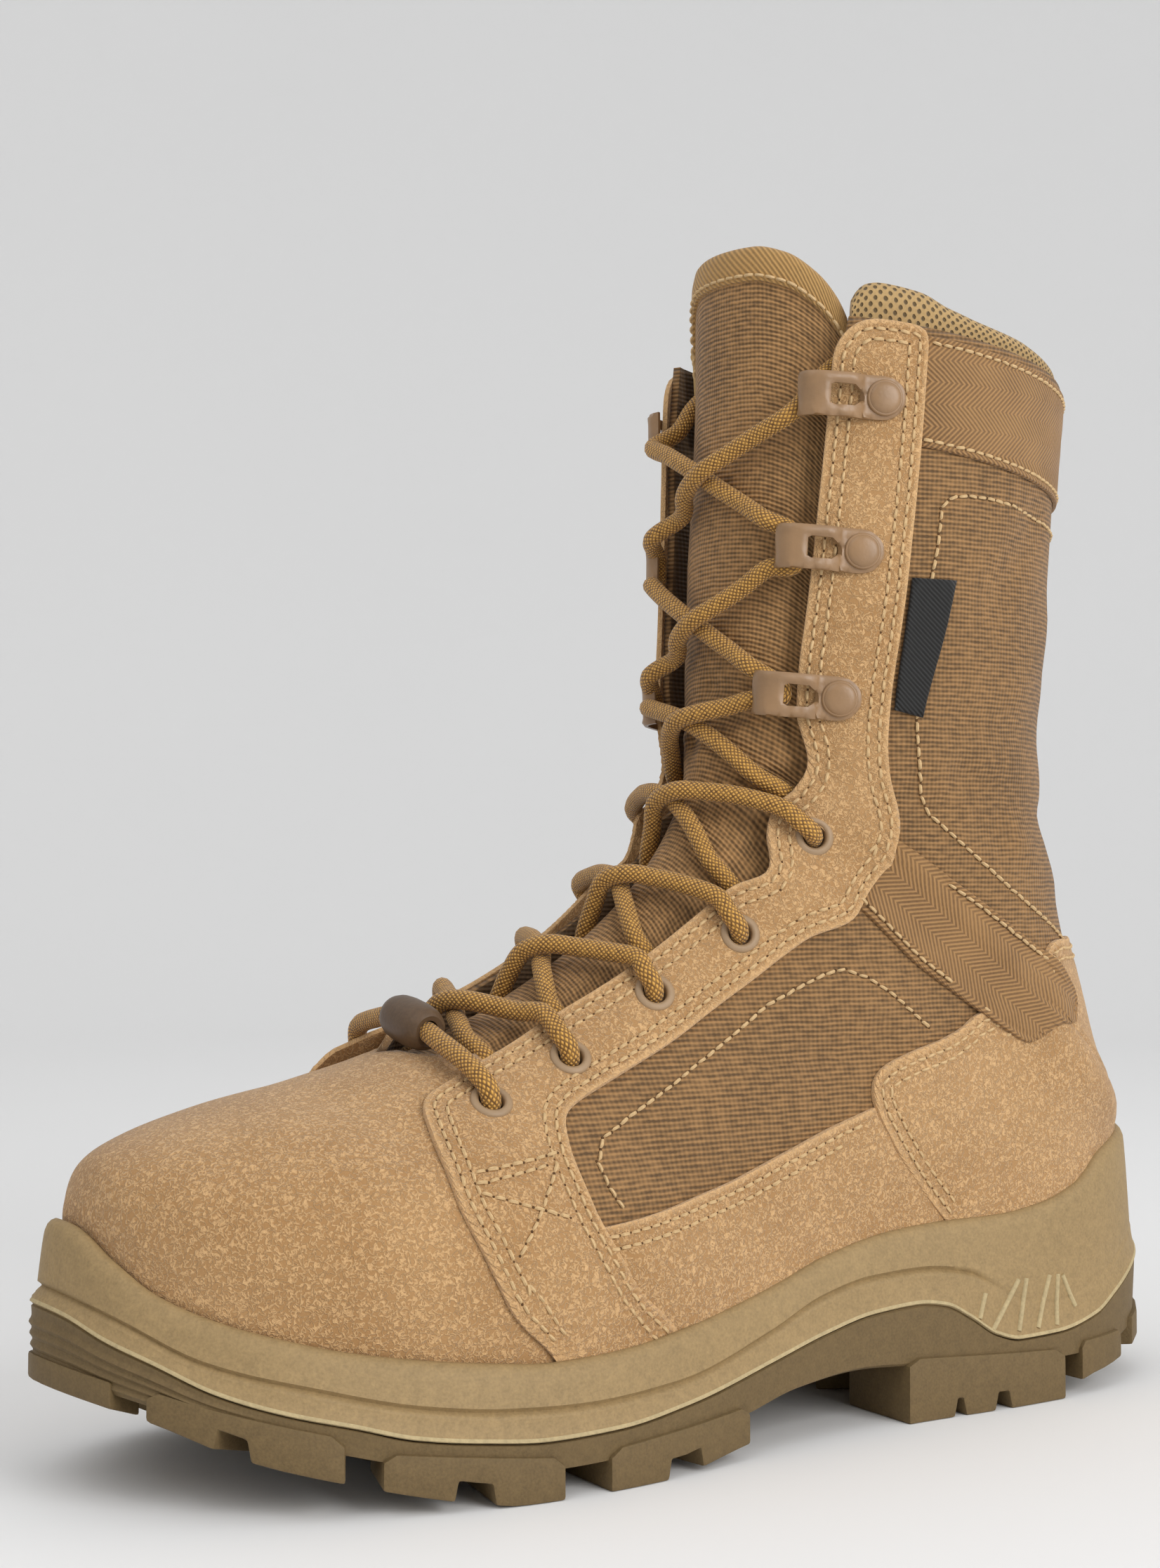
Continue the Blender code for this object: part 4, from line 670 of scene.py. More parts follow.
def moulded_finish(name, colour, roughness, grain_size, depth):
    """Moulded foam or rubber: a fine sand-blasted grain from the mould, faint clouds and rubbed dust."""
    made, shader, add = start_finish(name, Roughness=roughness, Specular_Ior_Level=0.35)
    place = add("TexCoord").outputs["Object"]
    grain = add("TexNoise", {"Vector": place, "Scale": per(grain_size), "Detail": 2.0})
    cloud = add("TexNoise", {"Vector": place, "Scale": per(22), "Detail": 4.0})
    specks = add("TexNoise", {"Vector": place, "Scale": per(2.4), "Detail": 2.0})
    share = add("Math", {0: specks, 1: 0.7, 2: grain}, operation="MULTIPLY_ADD")
    both = add("Math", {0: cloud, 1: 0.35, 2: share}, operation="MULTIPLY_ADD")
    spread = add("MapRange", {"Value": both, "From Min": 0.65, "From Max": 1.4})
    dark = shaded(colour, 0.8)
    light = shaded(colour, 1.18)
    coat(add, shader, dark, light, spread, grain, depth)
    return made


def enamel_finish(name, colour, roughness):
    """Baked enamel on stamped metal: smooth and satin, with a faint orange peel and paler rubbed spots."""
    made, shader, add = start_finish(name, Roughness=roughness, Specular_Ior_Level=0.5, Coat_Weight=0.1,
                                     Coat_Roughness=0.35)
    place = add("TexCoord").outputs["Object"]
    peel = add("TexNoise", {"Vector": place, "Scale": per(0.9), "Detail": 2.0})
    rubbed = add("TexNoise", {"Vector": place, "Scale": per(6), "Detail": 3.0})
    spread = add("MapRange", {"Value": rubbed, "From Min": 0.35, "From Max": 0.75})
    light = shaded(colour, 1.25)
    coat(add, shader, colour, light, spread, peel, 0.05)
    return made


def cord_finish(name, colours):
    """Braided cord: two families of strands wound left and right, about 0.9 mm apart, golden with dark
    gaps between."""
    made, shader, add = start_finish(name, Roughness=0.6, Specular_Ior_Level=0.35, Sheen_Weight=0.15)
    cloth = add("UVMap", uv_map="cloth")
    turned = add("Mapping", {"Vector": cloth, "Rotation": (0, 0, math.radians(45))})
    rows = [add("TexWave", {"Vector": turned, "Scale": bands(0.88), "Distortion": 0.4}, bands_direction=way)
            for way in "XY"]
    braid = add("Math", {0: rows[0].outputs["Fac"], 1: rows[1].outputs["Fac"]}, operation="MULTIPLY")
    grain = add("TexNoise", {"Vector": cloth, "Scale": 0.8, "Detail": 2.0})
    share = add("Math", {0: grain, 1: 0.5, 2: braid}, operation="MULTIPLY_ADD")
    spread = add("MapRange", {"Value": share, "From Min": 0.2, "From Max": 0.8})
    coat(add, shader, colours.cord_dark, colours.cord, spread, braid, 0.3)
    return made


def thread_finish(name, colour, roughness):
    """Twisted sewing thread, or the painted shade of the needle hole beside it: small, so only its tone
    varies.
    """
    made, shader, add = start_finish(name, Roughness=roughness, Specular_Ior_Level=0.3)
    place = add("TexCoord").outputs["Object"]
    twist = add("TexNoise", {"Vector": place, "Scale": per(0.7), "Detail": 1.0})
    dark = shaded(colour, 0.6)
    coat(add, shader, dark, colour, twist, twist, 0.08)
    return made


# Meshes

class Shape:
    """Points in millimetres and faces, gathered for one mesh, with cloth coordinates for each face's corners
    and a number from 0 to 1 at each point for how near it lies to a raw edge."""

    def __init__(self):
        self.points = []
        self.faces = []
        self.cloth = []
        self.slots = []
        self.edge = []

    def add_points(self, points, edge=0.0):
        first = len(self.points)
        self.points += [tuple(point) for point in points]
        self.edge += list(np.broadcast_to(edge, len(points)))
        return first

    def add_face(self, corners, cloth=None, slot=0):
        self.faces.append(tuple(corners))
        self.cloth.append(cloth or [(0.0, 0.0)] * len(corners))
        self.slots.append(slot)

    def add_grid(self, grid, u=None, v=None, around=False, over=False, slots=None):
        """Faces over rows of points. Around joins each row's ends, over joins the last row to the first.
        U and v are the cloth coordinates of columns and rows, with one more where they are joined."""
        grid = np.asarray(grid, float)
        rows, columns = grid.shape[:2]
        first = self.add_points(grid.reshape(-1, 3))
        u = np.arange(columns + 1.0) if u is None else np.asarray(u, float)
        v = np.arange(rows + 1.0) if v is None else np.asarray(v, float)
        flat = u.ndim == 1
        for r in range(rows if over else rows - 1):
            for c in range(columns if around else columns - 1):
                spots = [(r, c), (r, c + 1), (r + 1, c + 1), (r + 1, c)]
                corners = [first + (a % rows) * columns + b % columns for a, b in spots]
                cloth = [(u[b], v[a]) if flat else (u[a, b], v[a, b]) for a, b in spots]
                self.add_face(corners, cloth, 0 if slots is None else int(slots[r, c]))
        return first

    def close_ends(self, first, grid):
        """Faces across the first and the last column of a grid whose points start at first."""
        rows, columns = grid.shape[:2]
        for column in (0, columns - 1):
            self.add_face([first + row * columns + column for row in range(rows)])

    def add_tube(self, rings, u=None, v=None, slot=0):
        """Faces round a stack of rings, closed by one face across the first and one across the last."""
        rows, columns = np.shape(rings)[:2]
        first = self.add_grid(rings, u, v, around=True, slots=np.full((rows, columns), slot))
        for row in (0, rows - 1):
            self.add_face(range(first + row * columns, first + (row + 1) * columns), slot=slot)

    def add_sheet(self, faces, top, base, cloth=None, joined=None):
        """Two layers of the same faces, from the points that start at top and at base, with a wall along the
        open edges. There is no wall between two joined points."""
        spots = lambda corners: None if cloth is None else [tuple(cloth[k]) for k in corners]
        edges = {}
        for face in faces:
            for first, corners in ((top, face), (base, face[::-1])):
                self.add_face([first + k for k in corners], spots(corners))
            edges.update(dict.fromkeys(zip(face, list(face[1:]) + [face[0]])))
        for a, b in edges:
            if (b, a) not in edges and not (joined is not None and joined[a] and joined[b]):
                self.add_face([top + b, top + a, base + a, base + b], spots((b, a, a, b)))

    def build(self, name, finishes, angle=42.0, merge=0.01, outward=True):
        """The shape as an object with its doubles merged, faces turned out and smooth up to an angle."""
        mesh = bpy.data.meshes.new(name)
        mesh.from_pydata([[c * MM for c in point] for point in self.points], [], self.faces)
        layer = mesh.uv_layers.new(name="cloth")
        flat = [value for corners in self.cloth for spot in corners for value in spot]
        layer.uv.foreach_set("vector", flat)
        mesh.polygons.foreach_set("material_index", self.slots)
        raw = mesh.attributes.new("edge", "FLOAT", "POINT")
        raw.data.foreach_set("value", [float(value) for value in self.edge])
        bm = bmesh.new()
        bm.from_mesh(mesh)
        bmesh.ops.remove_doubles(bm, verts=bm.verts, dist=merge * MM)
        bmesh.ops.dissolve_degenerate(bm, edges=bm.edges, dist=0.0005 * MM)
        if outward:
            bmesh.ops.recalc_face_normals(bm, faces=bm.faces)
        bm.to_mesh(mesh)
        bm.free()
        for finish in finishes:
            mesh.materials.append(finish)
        mesh.shade_smooth()
        mesh.set_sharp_from_angle(angle=math.radians(angle))
        obj = bpy.data.objects.new(name, mesh)
        bpy.context.scene.collection.objects.link(obj)
        return obj


def settle(obj):
    """Turns an object's modifiers into its own mesh."""
    graph = bpy.context.evaluated_depsgraph_get()
    mesh = bpy.data.meshes.new_from_object(obj.evaluated_get(graph))
    obj.modifiers.clear()
    obj.data = mesh
    return obj


def hand_over(obj, slot, *nodes):
    """Ties a finished piece to the frame's body and hides the solids that it stands for. The slot is not
    used.
    """
    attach(obj, BODY)
    if nodes:
        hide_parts(*nodes)
    return obj


def made_once(maker, name, *values):
    """A material, made the first time that it is asked for."""
    return bpy.data.materials.get(name) or maker(name, *values)


def full_turn(steps):
    """Even angles round a circle."""
    return np.linspace(0, 2 * math.pi, steps, endpoint=False)


def loop_edges(count, first=0):
    """Pairs of neighbours round a closed loop of numbered points."""
    return [(first + k, first + (k + 1) % count) for k in range(count)]


def swept(path, radius, sides=10):
    """Rings round a path, carried along it without twist, and the path's run."""
    path = np.asarray(path, float)
    way = np.gradient(path, axis=0)
    way /= norm(way, axis=1, keepdims=True)
    across = np.cross(way[0], (0.13, 0.21, 0.97))
    rings = []
    angle = full_turn(sides)
    for point, along in zip(path, way):
        across = across - along * np.dot(across, along)
        across /= norm(across)
        other = np.cross(along, across)
        rings.append(point + radius * (np.outer(np.cos(angle), across) + np.outer(np.sin(angle), other)))
    return np.array(rings), run_of(path)


def evenly(path, step):
    """A path read again at even steps of its length."""
    path = np.asarray(path, float)
    run = run_of(path)
    at = np.linspace(0, run[-1], max(2, int(round(run[-1] / step)) + 1))
    return read_rows(run, path, at)


def lathe(profile, steps):
    """Rows of points turned about Z from radius and height."""
    angle = full_turn(steps)
    return [np.column_stack([r * np.cos(angle), r * np.sin(angle), np.full(steps, z)]) for r, z in profile]


# Overlays: outlines on the upper, filled with triangles, thick, with a cut edge and sewn grooves

# An edge runs from its first spot to the next edge's first spot. Rows are the distances of its seams.
Edge = namedtuple("Edge", "spots free rows")
BORDER_STEP = 2.3
EDGE_ROUND = 0.6
GROOVE = 0.34
SEAT = 0.12
RINGS = (0.2, 0.6, 1.5)
WEBBING_ROWS = (1.7,)
LABEL_THICK = 0.8
# Where the wing and the counter lie over the lower band: around, station. Where the counter lies under the
# strap: station, around
WING_ON_BAND = [(0.507, 6.76), (0.635, 6.88), (1.0, 7.21)]
COUNTER_ON_BAND = [(0.617, 10.85), (0.731, 10.87), (0.918, 10.96), (1.0, 11.07)]
COUNTER_UNDER_STRAP = [(12.76, 0.632), (15.1, 0.712)]
# How far the band and the webbing are pressed down, and the strap raised, there
BAND_PRESS = 0.75
WEBBING_PRESS = 0.7
STRAP_RISE = 1.5
# A row of stitches runs on round a corner over gaps shorter than this
CORNER_GAP = 7.0
# The shaft's middle and radius, for cloth that runs round it
SHAFT_MIDDLE = -71.0
SHAFT_RADIUS = 46.0


def seam_rows(sizes):
    """Distances of the two rows of stitches from a suede edge."""
    return sizes.inset / MM, (sizes.inset + sizes.space) / MM


def tucked(spots):
    """An edge that lies under another piece or in a join, with no seam."""
    return Edge(spots, False, ())


def rim_spots(first, last, count, side):
    """Spots just below the sole's rim, where an overlay is tucked in."""
    return [(s, around_at_rim(s, side, -1.2)) for s in np.linspace(first, last, count)]


def facing_edges(side, rows):
    """The facing with its wing, down to the sole."""
    foot = rim_spots(*FACING_FOOT, 7, side)
    return [Edge(FACING_FRONT, True, rows), tucked(foot[:-1]), Edge(foot[-1:] + FACING_REAR, True, rows)]


def band_edges(side, rows):
    """The band's ends run on under the wing and the counter."""
    foot = rim_spots(*BAND_FOOT, 12, side)
    return [Edge(BAND_TOP, True, rows), tucked(BAND_FRONT), tucked(foot[:-1]), tucked(foot[-1:] + BAND_REAR)]


def band_tuck(spots):
    """The band is pressed down where the wing and the counter lie over it."""
    wing = read(WING_ON_BAND, spots[:, 1])
    counter = read(COUNTER_ON_BAND, spots[:, 1])
    return -BAND_PRESS * np.clip(np.maximum(wing - spots[:, 0], spots[:, 0] - counter) / 0.12 + 1, 0, 1)


def facing_tuck(spots):
    """A strap or cuff is pressed down where the facing lies over its front end."""
    rear = read(FACING_REAR[3:], spots[:, 0])
    return -WEBBING_PRESS * np.clip((rear - spots[:, 1]) / 0.015 + 1, 0, 1)


def counter_edges(rows):
    """One half of the heel counter, up to the back seam."""
    seam = [(s, 1.0) for s in np.linspace(COUNTER_SEAM[1], COUNTER_SEAM[0] + 0.02, 14)]
    foot = rim_spots(*COUNTER_FOOT, 20, 1)
    return [Edge(COUNTER_FRONT, True, rows), tucked(seam), tucked(foot[:-1]), Edge(foot[-1:], True, rows)]


def strap_edges(rows):
    """The strap's front end runs on under the facing."""
    front = [(s, t - STRAP_TUCK) for s, t in STRAP_FRONT]
    return [tucked(front)] + [Edge(line, True, rows) for line in (STRAP_TOP, STRAP_REAR, STRAP_LOW)]


def strap_lift(spots):
    """The strap's front is pressed down by the facing and its rear lies over the counter."""
    counter = read(COUNTER_UNDER_STRAP, spots[:, 0])
    return facing_tuck(spots) + STRAP_RISE * np.clip((spots[:, 1] - counter) / 0.03 + 0.6, 0, 1)


def cuff_edges(rows):
    """One half of the cuff band, up to the back seam. Its front end runs on under the facing."""
    front = [(s, CUFF_FRONT - CUFF_TUCK) for s in np.linspace(CUFF_LOW, CUFF_HIGH, 6)]
    seam = [(s, 1.0) for s in np.linspace(CUFF_HIGH, CUFF_LOW, 8)]
    top = [(CUFF_HIGH, t) for t in np.linspace(CUFF_FRONT, 1.0, 16)]
    low = [(CUFF_LOW, t) for t in np.linspace(1.0, CUFF_FRONT, 16)]
    return [tucked(front), Edge(top[:-1], True, rows), tucked(seam[:-1]), Edge(low[:-1], True, rows)]


def border_loop(edges, side, soften=3):
    """The edges' spots in one closed loop, closely spaced and softened, and each spot's edge number."""
    spots, owner = [], []
    for number, edge in enumerate(edges):
        line = list(edge.spots) + [edges[(number + 1) % len(edges)].spots[0]]
        ends = skin([s for s, _ in line], [side * t for _, t in line])
        for a, b, p, q in zip(np.array(line), np.array(line)[1:], ends, ends[1:]):
            parts = int(round(norm(q - p) / BORDER_STEP))
            parts = max(parts, 1 if norm(q - p) > 0.2 else 0)
            spots += [a + (b - a) * k / parts for k in range(parts)]
            owner += [number] * parts
    spots, owner = np.array(spots), np.array(owner)
    loose = np.array([edges[n].free for n in owner])
    loose &= np.roll(loose, 1)
    for _ in range(soften):
        soft = 0.5 * spots + 0.25 * (np.roll(spots, 1, axis=0) + np.roll(spots, -1, axis=0))
        spots = np.where(loose[:, None], soft, spots)
    return spots, owner


def slopes(spots, side):
    """How the surface moves with station and with around."""
    s, t = spots[:, 0], side * spots[:, 1]
    by_station = (skin(s + 0.02, t) - skin(s - 0.02, t)) / 0.04
    return by_station, (skin(s, t + 0.003) - skin(s, t - 0.003)) / 0.006 * side


def inward(spots, side):
    """For each spot of a closed loop, the change of station and around that moves it 1 mm inwards."""
    along = np.roll(spots, -1, axis=0) - np.roll(spots, 1, axis=0)
    by_station, by_around = slopes(spots, side)
    a, b, c = (by_station ** 2).sum(1), (by_station * by_around).sum(1), (by_around ** 2).sum(1)
    turned = np.stack([-(b * along[:, 0] + c * along[:, 1]), a * along[:, 0] + b * along[:, 1]], -1)
    size = np.sqrt(a * turned[:, 0] ** 2 + 2 * b * turned[:, 0] * turned[:, 1] + c * turned[:, 1] ** 2)
    ahead = np.roll(spots, -1, axis=0)
    area = np.sum(spots[:, 0] * ahead[:, 1] - ahead[:, 0] * spots[:, 1])
    return turned / np.maximum(size, 1e-6)[:, None] * np.sign(area)


def gap_to(points, line, kept):
    """Distance from each point to the kept segments of a closed line."""
    start, end = line[kept], np.roll(line, -1, axis=0)[kept]
    run = end - start
    size = np.maximum((run ** 2).sum(1), 1e-12)
    best = np.full(len(points), 1e9)
    for k in range(0, len(points), 400):
        some = points[k:k + 400, None, :] - start[None]
        f = np.clip((some * run[None]).sum(2) / size, 0, 1)
        best[k:k + 400] = norm(some - f[..., None] * run[None], axis=2).min(1)
    return best


def within(spots, loop):
    """Which spots lie inside a closed loop."""
    odd = np.zeros(len(spots), bool)
    for a, b in zip(loop, np.roll(loop, -1, axis=0)):
        if a[1] != b[1]:
            cross = (a[1] > spots[:, 1]) != (b[1] > spots[:, 1])
            odd ^= cross & (spots[:, 0] < a[0] + (spots[:, 1] - a[1]) * (b[0] - a[0]) / (b[1] - a[1]))
    return odd


def crown(gap, thick, rows):
    """Height of an overlay's face at a distance from its cut edge."""
    rise = np.sqrt(1 - (1 - np.clip(gap / EDGE_ROUND, 0, 1)) ** 2)
    lift = SEAT + thick * (0.55 + 0.45 * rise)
    for row in rows:
        lift = lift - GROOVE * np.exp(-((gap - row) / 0.75) ** 2)
    return lift


def overlay(shape, edges, side, thick, chart, holes=(), cloth=None, hole=0.0, spacing=4.2, lift=None,
            soften=3):
    """Adds one overlay to a shape. Chart is the distance in millimetres of one station and of a whole turn
    around, holes are drilled at spots, cloth gives cloth coordinates of points, lift adds to the height."""
    loop, owner = border_loop(edges, side, soften)
    line = skin_at(loop, side)
    step = inward(loop, side)
    free = np.array([edges[n].free for n in owner])
    rows = sorted({row for edge in edges for row in edge.rows})
    inner = []
    deepest = max(rows) + 1.0 if rows else 3.0
    for depth in sorted(set(RINGS) | {row + k for row in rows for k in (-0.8, 0.0, 0.8)} | {deepest}):
        moved = loop[free] + depth * step[free]
        clear = gap_to(skin_at(moved, side), line, free) > 0.9 * depth
        inner.append(moved[clear & within(moved, loop)])
    chart = np.array(chart)
    low, high = (loop * chart).min(0), (loop * chart).max(0)
    lattice = []
    for row, p in enumerate(np.arange(low[0], high[0], spacing * 0.87)):
        lattice += [(p, q) for q in np.arange(low[1] + spacing / 2 * (row % 2), high[1], spacing)]
    lattice = np.array(lattice) / chart
    lattice = lattice[within(lattice, loop)]
    clear = gap_to(skin_at(lattice, side), line, free) > deepest + 0.5 * spacing
    clear &= gap_to(skin_at(lattice, side), line, np.ones_like(free)) > 0.45 * spacing
    spots = np.concatenate([loop] + inner + [lattice[clear]])
    turn = full_turn(20)
    sizes = [np.array([norm(slope) for slope in slopes(np.array([spot]), side)]) for spot in holes]
    for spot, size in zip(holes, sizes):
        away = (spots - spot) * size
        spots = spots[(norm(away, axis=1) > hole + 0.9) | (np.arange(len(spots)) < len(loop))]
        ring = np.stack([np.cos(turn), np.sin(turn)], -1) * hole / size + spot
        spots = np.concatenate([spots, ring])
    flat = [Vector(spot) for spot in spots * chart]
    found, _, faces = delaunay_2d_cdt(flat, loop_edges(len(loop)), [], 1, 1e-5)[:3]
    found = np.array([tuple(spot) for spot in found]) / chart
    points = skin_at(found, side)
    gap = gap_to(points, line, free)
    height = crown(gap, thick, rows) + (0 if lift is None else lift(found))
    middle = np.array([found[list(face)].mean(0) for face in faces])
    keep = np.ones(len(faces), bool)
    for spot, size in zip(holes, sizes):
        keep &= norm((middle - spot) * size, axis=1) > hole * 0.97
    faces = [face for face, kept in zip(faces, keep) if kept]
    seat = SEAT + (0 if lift is None else lift(found))
    face_up = surface(found[:, 0], side * found[:, 1], height)
    under = surface(found[:, 0], side * found[:, 1], np.broadcast_to(seat, len(found)))
    raw = np.exp(-(gap / 0.75) ** 2)
    top = shape.add_points(face_up, raw)
    base = shape.add_points(under, np.where(gap < 0.05, 1.0, 0.0))
    # The two halves of a cuff or counter are one sheet, with no wall between them at the back seam
    joined = (found[:, 0] >= COUNTER_SEAM[0]) & (found[:, 1] > 0.9995)
    shape.add_sheet(faces, top, base, None if cloth is None else cloth(points), joined)
    return shape


def shaft_cloth(points, side=0):
    """Cloth coordinates round the shaft: the run round its middle, and the height. Points of one side keep
    the back seam on that side."""
    out = side * np.abs(points[:, 1]) if side else points[:, 1]
    return np.column_stack([SHAFT_RADIUS * np.arctan2(out, points[:, 0] - SHAFT_MIDDLE), points[:, 2]])


def strap_cloth(side):
    """Cloth coordinates along and across an ankle strap."""
    ends = skin([13.7, 13.95], [side * 0.44, side * 0.745])
    along = (ends[1] - ends[0]) / norm(ends[1] - ends[0])
    across = np.cross(along, skin_normal(13.8, side * 0.6)[0])
    return lambda points: np.column_stack([(points - ends[0]) @ along, (points - ends[0]) @ across])


# Seams

Seam = namedtuple("Seam", "points along up")


def seam_along(spots, side, lift, pitch):
    """Stitches along a line of spots, lifted off the upper."""
    spots = np.asarray(spots, float)
    return seam_through(surface(spots[:, 0], side * spots[:, 1], lift), spots, side, pitch)


def seam_through(points, spots, side, pitch):
    """Stitches along a line of points that lie over spots of the upper."""
    run = run_of(points)
    at = np.arange(pitch / 2, run[-1] - pitch / 4, pitch)
    if len(at) < 2:
        return Seam(np.zeros((0, 3)), np.zeros((0, 3)), np.zeros((0, 3)))
    where = read_rows(run, spots, at)
    middle = read_rows(run, points, at)
    ahead = read_rows(run, points, at + 0.4)
    behind = read_rows(run, points, at - 0.4)
    return Seam(middle, ahead - behind, skin_normal(where[:, 0], side * where[:, 1]))


def border_seams(edges, side, thick, pitch):
    """The rows of stitches along an overlay's edges."""
    loop, owner = border_loop(edges, side)
    line = skin_at(loop, side)
    step = inward(loop, side)
    free = np.array([edges[n].free for n in owner])
    found = []
    for row in sorted({row for edge in edges for row in edge.rows}):
        sewn = np.array([row in edges[n].rows for n in owner])
        moved = loop + row * step
        sewn &= within(moved, loop)
        sewn &= gap_to(skin_at(moved, side), line, free) > 0.93 * row
        starts = np.flatnonzero(~sewn)
        turn = int(starts[0]) if len(starts) else 0
        order = np.roll(np.arange(len(loop)), -turn)
        stretch = []
        for k in list(order) + [None]:
            joined = k is not None and sewn[k]
            if joined:
                stretch.append(k)
            far = k is None or (not joined and stretch and not near(moved, stretch[-1], order, sewn, side))
            if far and len(stretch) > 3:
                lift = SEAT + thick - GROOVE
                found.append(seam_along(moved[stretch], side, lift, pitch))
            if far:
                stretch = []
    return found


def near(moved, last, order, sewn, side):
    """Whether the next sewn spot of a row lies close to the last one, as it does round a corner."""
    place = int(np.flatnonzero(order == last)[0])
    following = [k for k in order[place + 1:place + 9] if sewn[k]]
    if not following:
        return False
    ends = skin(moved[[last, following[0]], 0], side * moved[[last, following[0]], 1])
    return norm(ends[1] - ends[0]) < CORNER_GAP


# Repeats: a Geometry Nodes tree that sets a small piece on every point of a mesh

def points_tree():
    """Sets a piece on points, turned by their along and up directions, with a seeded change of size."""
    tree = bpy.data.node_groups.get("piece_on_points")
    if tree:
        return tree
    tree = bpy.data.node_groups.new("piece_on_points", "GeometryNodeTree")
    for label, kind in (("Points", "Geometry"), ("Piece", "Object"), ("Smallest", "Float"),
                        ("Largest", "Float"), ("Seed", "Int"), ("Finish", "Material")):
        tree.interface.new_socket(label, in_out="INPUT", socket_type="NodeSocket" + kind)
    tree.interface.new_socket("Pieces", in_out="OUTPUT", socket_type="NodeSocketGeometry")
    add = partial(add_node, tree, "")
    given = add("NodeGroupInput").outputs
    along = add("GeometryNodeInputNamedAttribute", {"Name": "along"}, data_type="FLOAT_VECTOR")
    up = add("GeometryNodeInputNamedAttribute", {"Name": "up"}, data_type="FLOAT_VECTOR")
    turn = add("FunctionNodeAxesToRotation", {0: up, 1: along}, primary_axis="Z", secondary_axis="X")
    size = add("FunctionNodeRandomValue", {2: given["Smallest"], 3: given["Largest"], "Seed": given["Seed"]},
               data_type="FLOAT")
    piece = add("GeometryNodeObjectInfo", {"Object": given["Piece"]})
    placed = add("GeometryNodeInstanceOnPoints",
                 {"Points": given["Points"], "Instance": piece.outputs["Geometry"], "Rotation": turn,
                  "Scale": size.outputs[1]})
    real = add("GeometryNodeRealizeInstances", {0: placed})
    finished = add("GeometryNodeSetMaterial", {"Geometry": real, "Material": given["Finish"]})
    add("NodeGroupOutput", {0: finished})
    return tree


def on_points(name, piece, points, along, up, finish, sizes=(1.0, 1.0), seed=1):
    """An object with a piece on every point, as a plain mesh. The piece is removed."""
    mesh = bpy.data.meshes.new(name)
    mesh.from_pydata((np.asarray(points) * MM).tolist(), [], [])
    for label, values in (("along", along), ("up", up)):
        layer = mesh.attributes.new(label, "FLOAT_VECTOR", "POINT")
        layer.data.foreach_set("vector", np.asarray(values, float).ravel())
    obj = bpy.data.objects.new(name, mesh)
    bpy.context.scene.collection.objects.link(obj)
    tree = points_tree()
    modifier = obj.modifiers.new("pieces", "NODES")
    modifier.node_group = tree
    inputs = {item.name: item.identifier for item in tree.interface.items_tree if item.in_out == "INPUT"}
    for label, value in (("Piece", piece), ("Smallest", sizes[0]), ("Largest", sizes[1]), ("Seed", seed),
                         ("Finish", finish)):
        modifier[inputs[label]] = value
    settle(obj)
    if not obj.data.polygons:
        raise RuntimeError(name + " came out empty")
    bpy.data.objects.remove(piece, do_unlink=True)
    obj.data.shade_smooth()
    obj.data.set_sharp_from_angle(angle=math.radians(50))
    return obj


# Pieces

# Half the width of the holes behind the eyelets
DRILL = 3.4
# The vamp is suede up to this station, and beside the throat up to a further station and share around
VAMP_END = 6.25
VAMP_THROAT = (7.3, 0.2)
# Columns of the upper's wall on each side
UPPER_COLUMNS = 46


